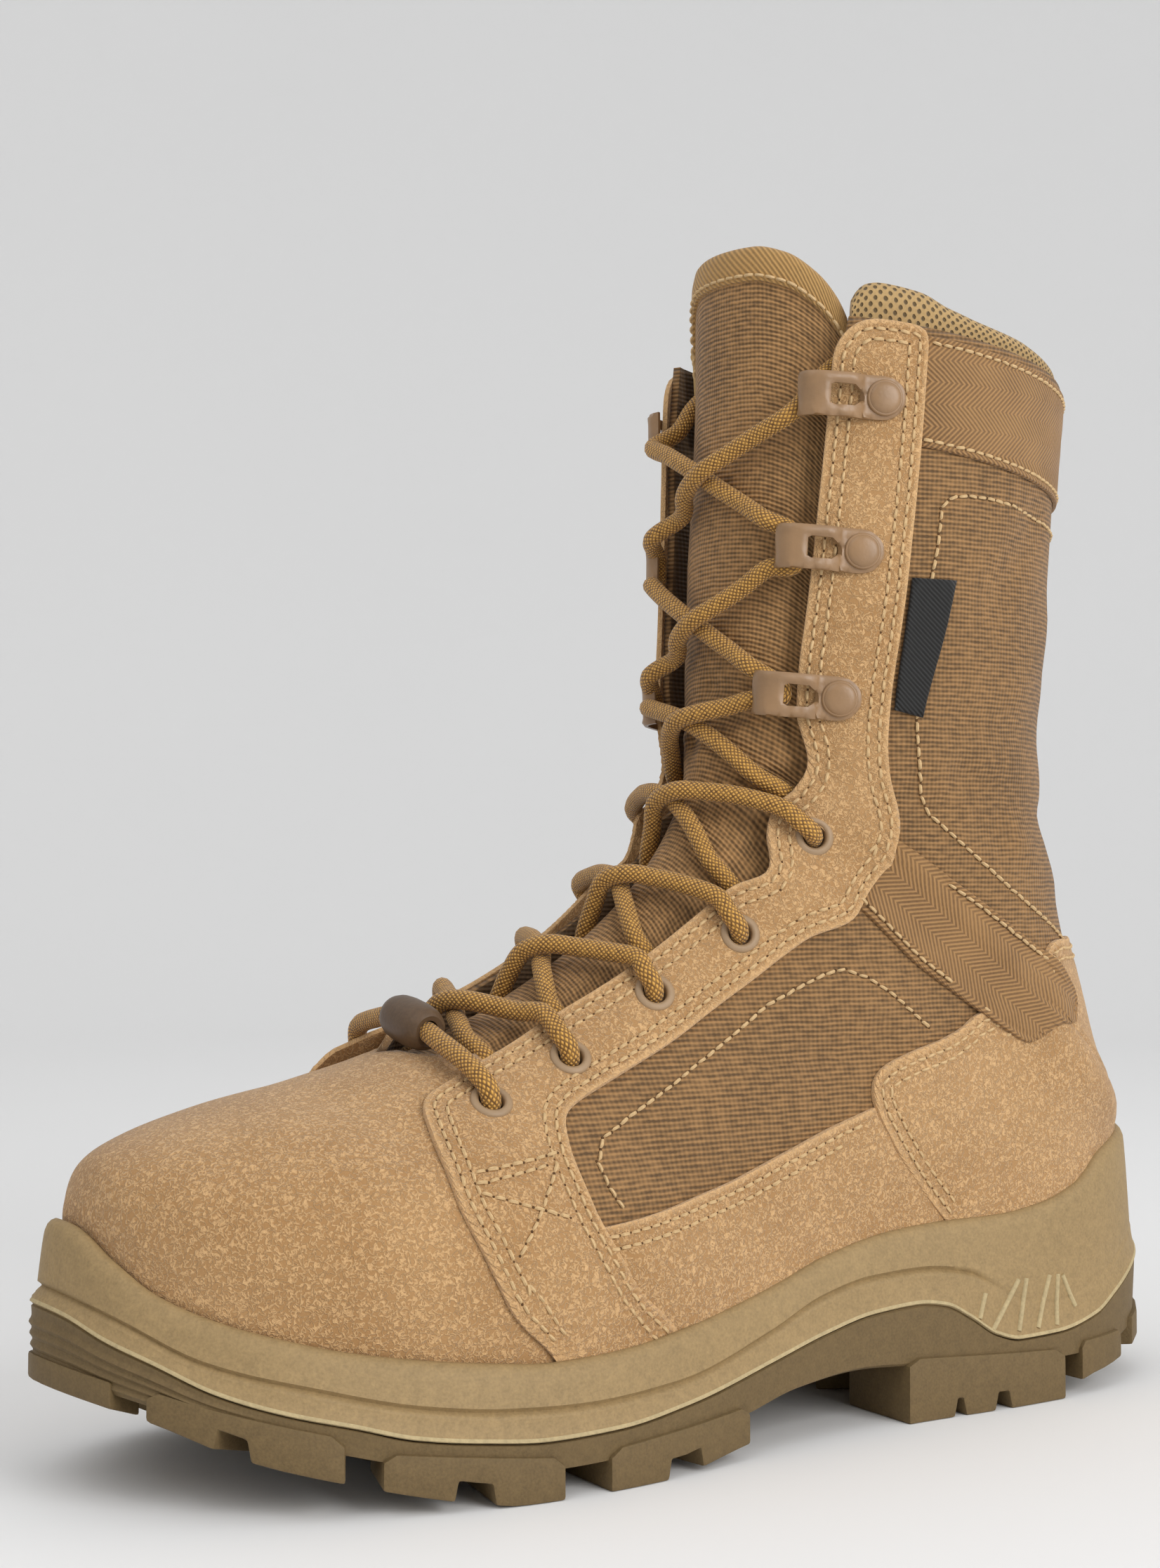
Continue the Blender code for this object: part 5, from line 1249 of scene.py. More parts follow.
class BOOT_OT_upper(bpy.types.Operator):
    """Makes the upper: a creased wall of suede vamp and woven nylon with a cloth lining"""
    bl_idname = "boot.upper"
    bl_label = "Upper"

    def execute(self, context):
        colours = context.scene.boot_colours
        finishes = [made_once(suede_finish, "suede_leather", colours),
                    made_once(nylon_finish, "coarse_nylon", colours.nylon, colours.nylon_dark),
                    made_once(nylon_finish, "lining_cloth", colours.lining, shaded(colours.lining, 0.5))]
        stations = np.concatenate([np.linspace(0, 3, 40)[:-1], np.linspace(3, HEEL, 78)[:-1],
                                   np.linspace(HEEL, COLLAR, 64)])
        shape = Shape()
        start = read(THROAT, stations)
        start[stations <= THROAT[0][0]] = 0
        drills = [surface(s, side * t)[0] for s, t in EYELETS for side, _ in SIDES]
        for side, _ in SIDES:
            share = np.append(np.linspace(0, 1, UPPER_COLUMNS), 1.0)
            around = start[:, None] + (1 - start[:, None]) * share
            station = np.broadcast_to(stations[:, None], around.shape)
            shut = np.clip((6.9 - station) / 0.5, 0, 1)
            grid = surface(station, side * around, -shut * flare(station, side * around))
            grid = grid.reshape(*around.shape, 3)
            foot = level(CUP_FLOOR, grid[:, -1, 0]) + 0.3
            grid[:, -1, 2] = np.where(stations <= HEEL, foot, grid[:, -1, 2])
            run = shaft_cloth(grid.reshape(-1, 3), side)[:, 0].reshape(around.shape)
            suede = (station < VAMP_END) | ((station < VAMP_THROAT[0]) & (around < VAMP_THROAT[1]))
            shape.add_grid(grid, np.where(station > 13, run, grid[..., 0]), grid[..., 2],
                           slots=np.where(suede, 0, 1))
        wall = shape.build("upper_wall", finishes[:2] + [finishes[2]] * 2, merge=0.02)
        bm = bmesh.new()
        bm.from_mesh(wall.data)
        bmesh.ops.recalc_face_normals(bm, faces=bm.faces)
        top = max(bm.faces, key=lambda face: face.calc_center_median().y)
        if top.normal.y < 0:
            bmesh.ops.reverse_faces(bm, faces=bm.faces)
        cut = [face for face in bm.faces if min((face.calc_center_median() - Vector(spot) * MM).length
                                                for spot in drills) < DRILL * MM]
        bmesh.ops.delete(bm, geom=cut, context="FACES")
        bm.to_mesh(wall.data)
        bm.free()
        shell = wall.modifiers.new("wall", "SOLIDIFY")
        shell.thickness = UPPER_WALL * MM
        shell.offset = -1.0
        shell.material_offset = 2
        settle(wall)
        hand_over(wall, "woven_nylon", "upper")
        return {"FINISHED"}


class BOOT_OT_overlays(bpy.types.Operator):
    """Makes the suede overlays: facings with their wings, lower bands and the heel counter"""
    bl_idname = "boot.overlays"
    bl_label = "Suede overlays"

    def execute(self, context):
        sizes = context.scene.boot_sizes
        suede = made_once(suede_finish, "suede_leather", context.scene.boot_colours)
        thick = sizes.suede / MM
        rows = seam_rows(sizes)
        for side, name in SIDES:
            facing = overlay(Shape(), facing_edges(side, rows), side, thick, (18.0, 150.0), EYELETS,
                             hole=(sizes.hole / MM) + 0.5)
            hand_over(facing.build("facing_" + name, [suede]), "suede", "eyestay_" + name)
            band = overlay(Shape(), band_edges(side, rows), side, thick, (18.0, 150.0), lift=band_tuck)
            hand_over(band.build("lower_band_" + name, [suede]), "suede", "band_" + name)
        counter = Shape()
        for side, _ in SIDES:
            overlay(counter, counter_edges(rows), side, thick, (40.0, 150.0))
        hand_over(counter.build("counter_suede", [suede]), "suede", "heel_counter")
        return {"FINISHED"}


class BOOT_OT_webbing(bpy.types.Operator):
    """Makes the ankle straps, the cuff band and the bare side label"""
    bl_idname = "boot.webbing"
    bl_label = "Straps, cuff and label"

    def execute(self, context):
        sizes, colours = context.scene.boot_sizes, context.scene.boot_colours
        webbing = made_once(webbing_finish, "herringbone_webbing", colours)
        thick = sizes.webbing / MM
        for side, name in SIDES:
            strap = overlay(Shape(), strap_edges(WEBBING_ROWS), side, thick, (34.0, 150.0),
                            cloth=strap_cloth(side), lift=strap_lift)
            hand_over(strap.build("ankle_strap_" + name, [webbing]), "nylon_webbing", "strap_" + name)
        cuff = Shape()
        for side, _ in SIDES:
            overlay(cuff, cuff_edges(WEBBING_ROWS), side, thick, (21.0, 150.0), lift=facing_tuck,
                    cloth=lambda points, side=side: shaft_cloth(points, side))
        hand_over(cuff.build("cuff_band", [webbing]), "nylon_webbing", "cuff")
        label = made_once(twill_finish, "label_twill", colours.label, shaded(colours.label, 0.35), 0.9, 0.6)
        free = lambda spots: 0.5 + 1.6 * np.clip((spots[:, 1] - 0.5) / 0.06, 0, 1) ** 1.5
        tag = overlay(Shape(), [Edge(TAG, True, ())], 1, LABEL_THICK, (25.0, 150.0), cloth=shaft_cloth,
                      lift=free, spacing=3.0, soften=0)
        hand_over(tag.build("side_label", [label]), "woven_label", "side_tag")
        return {"FINISHED"}


# Free seams on the nylon panels and the box and cross on the wings: station, around
WINDOW_SEAM = [(7.12, 0.513), (7.09, 0.473), (7.12, 0.433), (7.33, 0.401), (7.77, 0.395), (8.89, 0.391),
               (10.22, 0.403), (11.41, 0.439), (11.74, 0.455), (11.97, 0.485), (12.15, 0.527), (12.3, 0.593)]
SHAFT_SEAM = [(19.4, 0.98), (19.37, 0.78), (19.37, 0.673), (19.34, 0.619), (19.27, 0.565), (19.16, 0.545),
              (18.8, 0.541), (18.53, 0.533), (16.92, 0.513), (16.42, 0.513), (15.89, 0.511), (15.63, 0.523),
              (15.51, 0.595), (15.45, 0.647), (15.45, 0.677), (15.62, 0.8), (15.95, 0.98)]
WING_SEAMS = [[(5.71, 0.383), (6.70, 0.391)], [(5.65, 0.403), (6.63, 0.405)], [(5.64, 0.419), (6.46, 0.495)],
              [(6.65, 0.405), (5.65, 0.543)]]
# How far stitches lean out of line, their smallest and largest share of the size, and the needle hole beside
# each, a small disc painted dark as its shade: radius, height
STITCH_SWAY = 0.07
STITCH_SPREAD = (0.9, 1.08)
NEEDLE_HOLE = [(0.05, 0.1), (0.28, 0.08), (0.36, -0.15), (0.05, -0.3)]
NEEDLE_SPREAD = (0.85, 1.15)
NEEDLE_SHADE = "5A3F24"


class BOOT_OT_stitches(bpy.types.Operator):
    """Sews every seam: rows of thread with needle holes between the stitches"""
    bl_idname = "boot.stitches"
    bl_label = "Stitches"

    def execute(self, context):
        sizes, colours = context.scene.boot_sizes, context.scene.boot_colours
        pitch, suede, webbing = sizes.pitch / MM, sizes.suede / MM, sizes.webbing / MM
        rows = seam_rows(sizes)
        seams = []
        for side, _ in SIDES:
            for edges in (facing_edges(side, rows), band_edges(side, rows), counter_edges(rows)):
                seams += border_seams(edges, side, suede, pitch)
            seams += border_seams(strap_edges(WEBBING_ROWS), side, webbing + 0.35, pitch)
            seams += border_seams(cuff_edges(WEBBING_ROWS), side, webbing, pitch)
            for line in (WINDOW_SEAM, SHAFT_SEAM):
                seams.append(seam_along(evenly(line, 0.05), side, 0.12, pitch))
            for line in WING_SEAMS:
                seams.append(seam_along(evenly(line, 0.02), side, SEAT + suede - 0.02, pitch))
        points, along, up = (np.concatenate(part) for part in zip(*seams))
        draw = np.random.default_rng(sizes.seed)
        across = np.cross(up, along)
        across /= norm(across, axis=1, keepdims=True)
        along = along + across * draw.normal(0, STITCH_SWAY, (len(along), 1)) * norm(along, axis=1)[:, None]
        thread = sizes.thread / MM
        arch = np.linspace(-1, 1, 6)
        path = np.column_stack([arch * sizes.stitch / MM / 2, 0 * arch, thread * (0.75 - 1.5 * arch ** 4)])
        rings, run = swept(path, thread, 6)
        rings[[0, -1]] = path[[0, -1], None] + (rings[[0, -1]] - path[[0, -1], None]) * 0.4
        stitch = Shape()
        stitch.add_tube(rings, np.arange(7.0), run)
        sewn = on_points("stitches", stitch.build("one_stitch", []), points, along, up,
                         made_once(thread_finish, "sewing_thread", colours.thread, 0.65),
                         STITCH_SPREAD, sizes.seed)
        hand_over(sewn, "suede")
        # Painted shade: each needle hole is a small dark disc beside a stitch
        pit = Shape()
        pit.add_tube(lathe(NEEDLE_HOLE, 7))
        way = along / norm(along, axis=1, keepdims=True)
        holes = on_points("needle_holes", pit.build("one_hole", []), points + way * pitch / 2, along, up,
                          made_once(thread_finish, "needle_hole", linear(NEEDLE_SHADE), 0.9),
                          NEEDLE_SPREAD, sizes.seed + 1)
        hand_over(holes, "suede")
        return {"FINISHED"}


# Rings round the sole have this many columns on each side, closer together at toe and heel
SOLE_COLUMNS = 320
SOLE_SHARES = np.linspace(0, 1, SOLE_COLUMNS + 1)
SOLE_SHARES = 0.6 * SOLE_SHARES + 0.2 * (1 - np.cos(np.pi * SOLE_SHARES))
FLASH = 0.2


def sole_ring(out, height, relief=None):
    """A closed ring round the sole: lateral side from toe to heel, then back along the medial side."""
    rows = []
    for side, _ in SIDES:
        shares = SOLE_SHARES if side > 0 else SOLE_SHARES[-2:0:-1]
        x = outline(side, shares)[0][:, 0]
        z = height(x)
        far = np.broadcast_to(out(x) if callable(out) else out, len(x)).astype(float)
        if relief:
            far = far + relief(x, z)
        rows.append(np.column_stack([outline(side, shares, far)[0], z]))
    return np.concatenate(rows)


def stack(shape, rings, marked=()):
    """A solid through a stack of rings, closed by strips across the first and the last. Faces from a marked
    ring to the next take the second finish."""
    slots = np.zeros((len(rings), len(rings[0])), int)
    slots[list(marked)] = 1
    first = shape.add_grid(rings, around=True, slots=slots)
    count = len(rings[0])
    for ring in (0, len(rings) - 1):
        start = first + ring * count
        for k in range(count // 2):
            corners = [start + n for n in (k, k + 1, count - k - 1, (count - k) % count)]
            shape.add_face(list(dict.fromkeys(corners)))


# Thin slanted ridges on the heel's side, in pairs like flames: foot x, foot z, head x, head z
HEEL_FLAMES = [(-69.6, 22.9, -72, 28.8), (-73.8, 19.8, -83.4, 30.9), (-82.3, 18.6, -86.2, 31),
               (-88.9, 18.6, -94.5, 31), (-95.6, 18.6, -97.5, 31), (-102.8, 22.5, -99.1, 30.6)]
FLAME_RADIUS = 0.75


def heel_flame(shape, side, foot_x, foot_z, head_x, head_z):
    """Adds a thin ridge, half sunk into the midsole's side, painted in the trimmed edge's paler colour as a
    painted highlight.
    """
    route = []
    for x, z in np.linspace((foot_x, foot_z), (head_x, head_z), 16):
        heights = level(PARTING, x) + 1.9, level(STEP_LINE, x), level(RIM, x) - 2.4
        out = np.interp(z, heights, (6.25, 5.35, 3.75)) - 0.3 * FLAME_RADIUS
        route.append((*outline(side, share_at(side, x), out)[0], z))
    # Slot 1, the paler flash colour, is a painted highlight on the ridge
    shape.add_tube(swept(np.array(route), FLAME_RADIUS)[0], slot=1)


def toe_steps(x, z):
    """Level ribs round the outsole's toe."""
    deep = (level(PARTING, x) - z) / (level(PARTING, x) - level(TREAD_BASE, x))
    ribs = sum(np.exp(-((deep - rib) / 0.06) ** 2) for rib in TOE_RIBS)
    return 0.75 * ribs * np.clip((x - 118) / 12, 0, 1)


def bevelled_prism(shape, low, high, edge):
    """Adds a prism between two outlines, with its edges rounded."""
    bm = bmesh.new()
    bottom = [bm.verts.new(point) for point in low]
    top = [bm.verts.new(point) for point in high]
    count = len(bottom)
    bm.faces.new(bottom[::-1])
    bm.faces.new(top)
    for k in range(count):
        n = (k + 1) % count
        bm.faces.new((bottom[k], bottom[n], top[n], top[k]))
    bmesh.ops.recalc_face_normals(bm, faces=bm.faces)
    sharp = [item for item in bm.edges if item.calc_face_angle(0) > math.radians(28)]
    bmesh.ops.bevel(bm, geom=sharp, offset=edge, segments=2, profile=0.6, affect="EDGES", clamp_overlap=True)
    bmesh.ops.triangulate(bm, faces=[face for face in bm.faces if len(face.verts) > 4])
    bm.verts.index_update()
    first = shape.add_points([tuple(vert.co) for vert in bm.verts])
    for face in bm.faces:
        shape.add_face([first + vert.index for vert in face.verts])
    bm.free()


def side_lug(shape, side, pair):
    """Lugs under one raised plate: a notched side view carried inwards from the sole's edge."""
    view = [(0.0, 0)]
    for start, end in pair.notches:
        view += [(start, 0), (start + 0.02, 1), (end - 0.02, 1), (end, 0)]
    view += [(1.0, 0), (1.0, 2), (0.93, 3), (0.07, 3), (0.0, 2)]
    close = []
    for (f, kind), (g, after) in zip(view, view[1:]):
        parts = max(1, int(round(abs(g - f) * (pair.front - pair.rear) / 4))) if kind == after else 1
        close += [(f + (g - f) * k / parts, kind) for k in range(parts)]
    f, kind = np.array(close + view[-1:]).T
    first, last = share_at(side, pair.front), share_at(side, pair.rear)
    faces = []
    for out in (LUG_FLARE, SOLE_FLARE - pair.reach):
        plan = outline(side, first + (last - first) * f, np.full(len(f), out))[0]
        plan[:, 0] -= 2.5 * (out < 0)
        ground = level(TREAD_ROLL, plan[:, 0])
        plate = pair.top_front + (pair.top_rear - pair.top_front) * f
        z = np.select([kind == 0, kind == 1, kind == 2], [ground, ground + NOTCH_RISE, plate - 1.8], plate)
        faces.append(np.column_stack([plan, np.minimum(z, level(BED, plan[:, 0]) - 1.5) if out < 0 else z]))
    bevelled_prism(shape, *faces, 0.8)


def under_lug(shape, plan, top):
    """A lug under the sole, from the ground up into the rubber."""
    plan = np.asarray(plan, float)
    roll = level(TREAD_ROLL, plan[:, 0])
    bevelled_prism(shape, np.column_stack([plan, roll]), np.column_stack([plan, top(plan[:, 0])]), 0.7)


class BOOT_OT_sole(bpy.types.Operator):
    """Makes the cup midsole with its step line and heel ridges, the lugged outsole and the footbed"""
    bl_idname = "boot.sole"
    bl_label = "Sole"

    def execute(self, context):
        colours = context.scene.boot_colours
        foam = made_once(moulded_finish, "moulded_polyurethane", colours.foam, 0.62, 0.7, 0.12)
        # The trimmed flash's paler finish also paints a highlight on the heel ridges
        self.midsole(foam, made_once(moulded_finish, "trimmed_flash", colours.flash, 0.8, 0.8, 0.1))
        self.outsole(made_once(moulded_finish, "moulded_rubber", colours.rubber, 0.7, 0.6, 0.1))
        footbed = made_once(nylon_finish, "footbed_cloth", colours.footbed, shaded(colours.footbed, 0.5))
        shape = Shape()
        stack(shape, [sole_ring(-INSOLE_INSET, over(CUP_FLOOR, 0.3)),
                      sole_ring(-INSOLE_INSET, over(CUP_FLOOR, INSOLE_THICK - 0.8)),
                      sole_ring(-INSOLE_INSET - 1.0, over(CUP_FLOOR, INSOLE_THICK))])
        hand_over(shape.build("footbed", [footbed]), "footbed_textile", "insole")
        return {"FINISHED"}

    def midsole(self, finish, trimmed):
        """The cup's wall from its floor over the rim, down past the step line to the trimmed edge."""
        groove = lambda x: 0.95 * np.clip((x + 80) / 12, 0, 1)
        lines = [(0.3, over(CUP_FLOOR)), (0.3, over(RIM, -1.2)), (0.7, over(RIM, -0.35)), (1.5, over(RIM)),
                 (2.4, over(RIM, -0.3)), (3.2, over(RIM, -1.1)), (3.75, over(RIM, -2.4))]
        lip, above = over(RIM, -2.4), over(STEP_LINE, 0.95)
        lines += [(3.75 + 1.45 * f ** 0.8, between(lip, above, f)) for f in np.linspace(0.08, 1.0, 15)]
        lines += [(lambda x: 5.15 - 0.75 * groove(x), over(STEP_LINE, 0.35)),
                  (lambda x: 5.2 - groove(x), over(STEP_LINE)),
                  (lambda x: 5.35 - 0.5 * groove(x), over(STEP_LINE, -0.5))]
        below, edge = over(STEP_LINE, -1.1), over(PARTING, 1.9)
        lines += [(5.5 + 0.75 * f ** 1.5, between(below, edge, f)) for f in np.linspace(0.0, 1.0, 12)]
        lines += [(SOLE_FLARE + 0.25, over(PARTING, 1.3)), (SOLE_FLARE + 0.35 + FLASH, over(PARTING, 1.0)),
                  (SOLE_FLARE + 0.4 + FLASH, over(PARTING, 0.6)), (SOLE_FLARE + 0.1, over(PARTING, 0.3)),
                  (BED_EDGE - 0.3, over(BED, 0.3))]
        shape = Shape()
        stack(shape, [sole_ring(*line) for line in lines], range(len(lines) - 5, len(lines) - 2))
        for side, _ in SIDES:
            for ridge in HEEL_FLAMES:
                heel_flame(shape, side, *ridge)
        hand_over(shape.build("cup_midsole", [finish, trimmed], angle=60), "moulded_foam", "midsole")

    def outsole(self, finish):
        """The rubber sheet from its bed down to the tread, and the lugs under it."""
        parting, base = over(PARTING), over(TREAD_BASE)
        lines = [(BED_EDGE, over(BED)), (SOLE_FLARE - 0.2, parting)]
        lines += [(SOLE_FLARE + 0.3 - 0.9 * f, between(parting, base, f), toe_steps)
                  for f in np.linspace(0.03, 0.94, 26)]
        lines += [(5.2, over(TREAD_BASE, 0.3)), (4.4, base)]
        shape = Shape()
        stack(shape, [sole_ring(*line) for line in lines])
        for side, _ in SIDES:
            for pair in SIDE_LUGS:
                side_lug(shape, side, pair)
        buried = over(TREAD_BASE, 1.5)
        for lug in CENTRE_LUGS:
            middle = 0.0 if lug.front < 0 else -1.5
            left, right = middle + lug.half, middle - lug.half
            under_lug(shape, [(lug.front, middle), (lug.rear + 7, left), (lug.rear, left),
                              (lug.rear + 5, middle), (lug.rear, right), (lug.rear + 7, right)], buried)
        for x, top in ((TOE_LUG_X, 1.2), (HEEL_TIP_X, 3.0)):
            ends = []
            for side, _ in SIDES:
                edge = share_at(side, x)
                tip = 0.0 if x > 0 else 1.0
                shares = edge + (tip - edge) * np.linspace(0, 1, 6)
                ends.append(outline(side, shares, np.full(6, LUG_FLARE))[0])
            plan = np.concatenate([ends[0], ends[1][-2::-1]])
            inner = plan[[-1, 0]].copy()
            inner[:, 0] -= math.copysign(9, x)
            inner[:, 1] *= 0.6
            under_lug(shape, np.concatenate([plan, inner]), over(TREAD_BASE, top))
        hand_over(shape.build("lugged_outsole", [finish], angle=35), "outsole_rubber", "outsole")


def tongue_spots(share, depth):
    """Station and around of tongue points by share across (-1 to 1) and stations below the top edge."""
    station = level(TONGUE_TOP, np.abs(share)) - depth
    wide = 1 + 0.2 * np.clip(share, 0, 1) * np.clip((station - 19.5) / 1.0, 0, 1)
    return station, share * wide * level(TONGUE_HALF, station)


# How far the tongue is sunk between the facings, by station
TONGUE_SINK = [(6.5, 0.0), (7.5, 3.4), (9.0, 4.2), (12.0, 4.2), (13.5, 2.8), (15.0, 2.0), (17.0, 1.8),
               (18.5, 2.3), (19.5, 3.8), (20.5, 5.2), (22.0, 6.4)]


def tongue_drop(station, around):
    """How far the tongue lies below the upper's surface: deeper where the facings cover it."""
    edge = read(THROAT, station) - 0.035
    under = np.clip((np.abs(around) - edge + 0.03) / 0.03, 0, 1)
    under = np.maximum(under, np.clip((7.4 - station) / 0.7, 0, 1))
    free = np.clip((station - 20.0) / 0.45, 0, 1)
    under = under * under * (3 - 2 * under)
    sunk = read(TONGUE_SINK, station)
    deeper = (TONGUE_UNDER - TONGUE_DROP) * under * (1 - free) * np.clip(1 - sunk / 6, 0, 1)
    return TONGUE_DROP + sunk + deeper


def tongue_points(share, depth, lift):
    """Points of the folded tongue, lifted off its face. Depth is in stations below the top edge."""
    station, around = tongue_spots(share, depth)
    rise = lift - tongue_drop(station, around)
    points = skin(station, around)
    return points + skin_normal(station, around) * (rise + swell(points, TONGUE_CREASES))[:, None]


# Profile of the binding over the tongue's top: stations below the edge, lift off the tongue's face
BINDING = [(0.37, 0.15), (0.36, 0.75), (0.3, 1.05), (0.2, 1.2), (0.08, 1.15), (0.0, 0.8), (-0.045, 0.0),
           (-0.065, -1.2), (-0.065, -2.8), (-0.045, -4.0), (0.0, -4.75), (0.1, -5.1), (0.2, -5.2),
           (0.36, -5.1), (0.37, -4.3)]
BINDING_END = 0.965


class BOOT_OT_tongue(bpy.types.Operator):
    """Makes the folded nylon tongue and the twill binding round its top"""
    bl_idname = "boot.tongue"
    bl_label = "Tongue"

    def execute(self, context):
        sizes, colours = context.scene.boot_sizes, context.scene.boot_colours
        # Painted light: the tongue's nylon is a lighter copy of the upper's nylon, standing in for light
        # that falls on the tongue
        nylon = made_once(nylon_finish, "tongue_weave", shaded(colours.nylon, 1.3),
                          shaded(colours.nylon_dark, 1.15))
        binding = made_once(twill_finish, "binding_twill", colours.binding,
                            shaded(colours.binding, 0.5), 1.25, 0.7)
        shares = np.sin(np.linspace(-math.pi / 2, math.pi / 2, 61)) * 0.3 + np.linspace(-1, 1, 61) * 0.7
        top = level(TONGUE_TOP, np.abs(shares))
        depth = np.outer(np.linspace(1, 0, 150), top - TONGUE_BOTTOM)
        across = np.broadcast_to(shares, depth.shape).ravel()
        rounded = np.sqrt(np.clip(1 - np.abs(across) ** 10, 0.02, 1))
        face = tongue_points(across, depth.ravel(), 0.35 * (rounded - 1)).reshape(*depth.shape, 3)
        back = tongue_points(across, depth.ravel(), -TONGUE_THICK * (0.55 + 0.45 * rounded))
        back = back.reshape(*depth.shape, 3)
        rise = run_of(face[:, 30])
        shape = Shape()
        first = shape.add_grid(face, shares * 40.0, rise)
        second = shape.add_grid(back, shares * 40.0, rise)
        rows, columns = face.shape[:2]
        border = [(0, c) for c in range(columns)] + [(r, columns - 1) for r in range(1, rows)]
        border += [(rows - 1, c) for c in range(columns - 2, -1, -1)]
        border += [(r, 0) for r in range(rows - 2, 0, -1)]
        for (r, c), (q, d) in zip(border, border[1:] + border[:1]):
            shape.add_face([first + r * columns + c, first + q * columns + d, second + q * columns + d,
                            second + r * columns + c])
        tongue = shape.build("tongue_nylon", [nylon])
        hand_over(tongue, "woven_nylon", "tongue")
        shares = np.linspace(-BINDING_END, BINDING_END, 90)
        grid = np.array([tongue_points(shares, depth, lift) for depth, lift in BINDING])
        run = run_of(grid[3])
        down = run_of(grid[:, 45])
        shape = Shape()
        first = shape.add_grid(grid, run, np.append(down, down[-1] + 4), over=True)
        shape.close_ends(first, grid)
        hand_over(shape.build("tongue_tape", [binding]), "binding_tape", "tongue_binding")
        seam = np.column_stack(tongue_spots(shares, 0.3))
        found = seam_through(tongue_points(shares, 0.3, 1.0), seam, 1, sizes.pitch / MM)
        path = np.column_stack([np.linspace(-1.1, 1.1, 5), np.zeros(5), [-0.2, 0.25, 0.35, 0.25, -0.2]])
        rings, run = swept(path, sizes.thread / MM, 6)
        stitch = Shape()
        stitch.add_tube(rings, np.arange(7.0), run)
        thread = made_once(thread_finish, "sewing_thread", colours.thread, 0.65)
        sewn = on_points("tape_stitches", stitch.build("one_tape_stitch", []), found.points, found.along,
                         found.up, thread, (0.92, 1.06), sizes.seed + 2)
        hand_over(sewn, "binding_tape")
        return {"FINISHED"}


# Profile of the collar's roll: out from the upper's face, station, share of the rise
COLLAR_ROLL = [(-2.3, 20.2, 0), (-2.25, 20.7, 0), (-2.1, 21.0, 0.12), (-1.5, 21.02, 0.55),
               (-1.9, 21.02, 0.85), (-3.0, 21.02, 1.06), (-4.4, 21.03, 1.12), (-5.9, 21.0, 1.04),
               (-7.2, 20.94, 0.8), (-7.9, 20.8, 0.4), (-7.8, 20.5, 0.1), (-6.6, 20.2, 0), (-4.2, 20.05, 0)]


class BOOT_OT_collar(bpy.types.Operator):
    """Makes the padded collar roll of spacer mesh"""
    bl_idname = "boot.collar"
    bl_label = "Collar roll"

    def execute(self, context):
        finish = made_once(mesh_finish, "knitted_mesh", context.scene.boot_colours)
        side = np.linspace(0.357, 1.0, 70)
        around = np.concatenate([side, -side[-2::-1]])
        end = np.clip((np.abs(around) - 0.35) / 0.04, 0, 1)
        rise = level(COLLAR_RISE, np.abs(around)) + np.interp(np.abs(around), (0.55, 0.7), (0.0, 2.2))
        rise = rise * np.sqrt(end * (2 - end))
        grid = []
        for out, station, share in COLLAR_ROLL:
            ring = raised(np.full(len(around), station), around, np.full(len(around), out))
            ring[:, 2] += rise * share
            grid.append(ring)
        grid = np.array(grid)
        fine = [through(grid[:, k], np.linspace(0, len(grid) - 1, 37)) for k in range(len(around))]
        grid = np.transpose(np.array(fine), (1, 0, 2))
        run = run_of(grid[14])
        down = run_of(grid[:, 20])
        shape = Shape()
        first = shape.add_grid(grid, run, np.append(down, down[-1] + 3), over=True)
        shape.close_ends(first, grid)
        roll = shape.build("collar_roll", [finish])
        hand_over(roll, "spacer_mesh", "collar_pad")
        return {"FINISHED"}


# The hook's strap from its rivet (x = 0) to its loop: x, height. Its slot: x, half width
HOOK_LINE = [(-5.6, 0.0), (4.2, 0.0), (6.4, 0.7), (8.4, 1.9), (15.5, 2.3), (17.6, 1.9), (19.2, 0.7),
             (19.9, -1.2), (20.0, -2.6)]
HOOK_SLOT = [(5.7, 1.0), (6.5, 1.5), (7.6, 1.6), (8.6, 2.6), (13.2, 2.7), (14.1, 2.2)]
HOOK_SHEET = 1.3


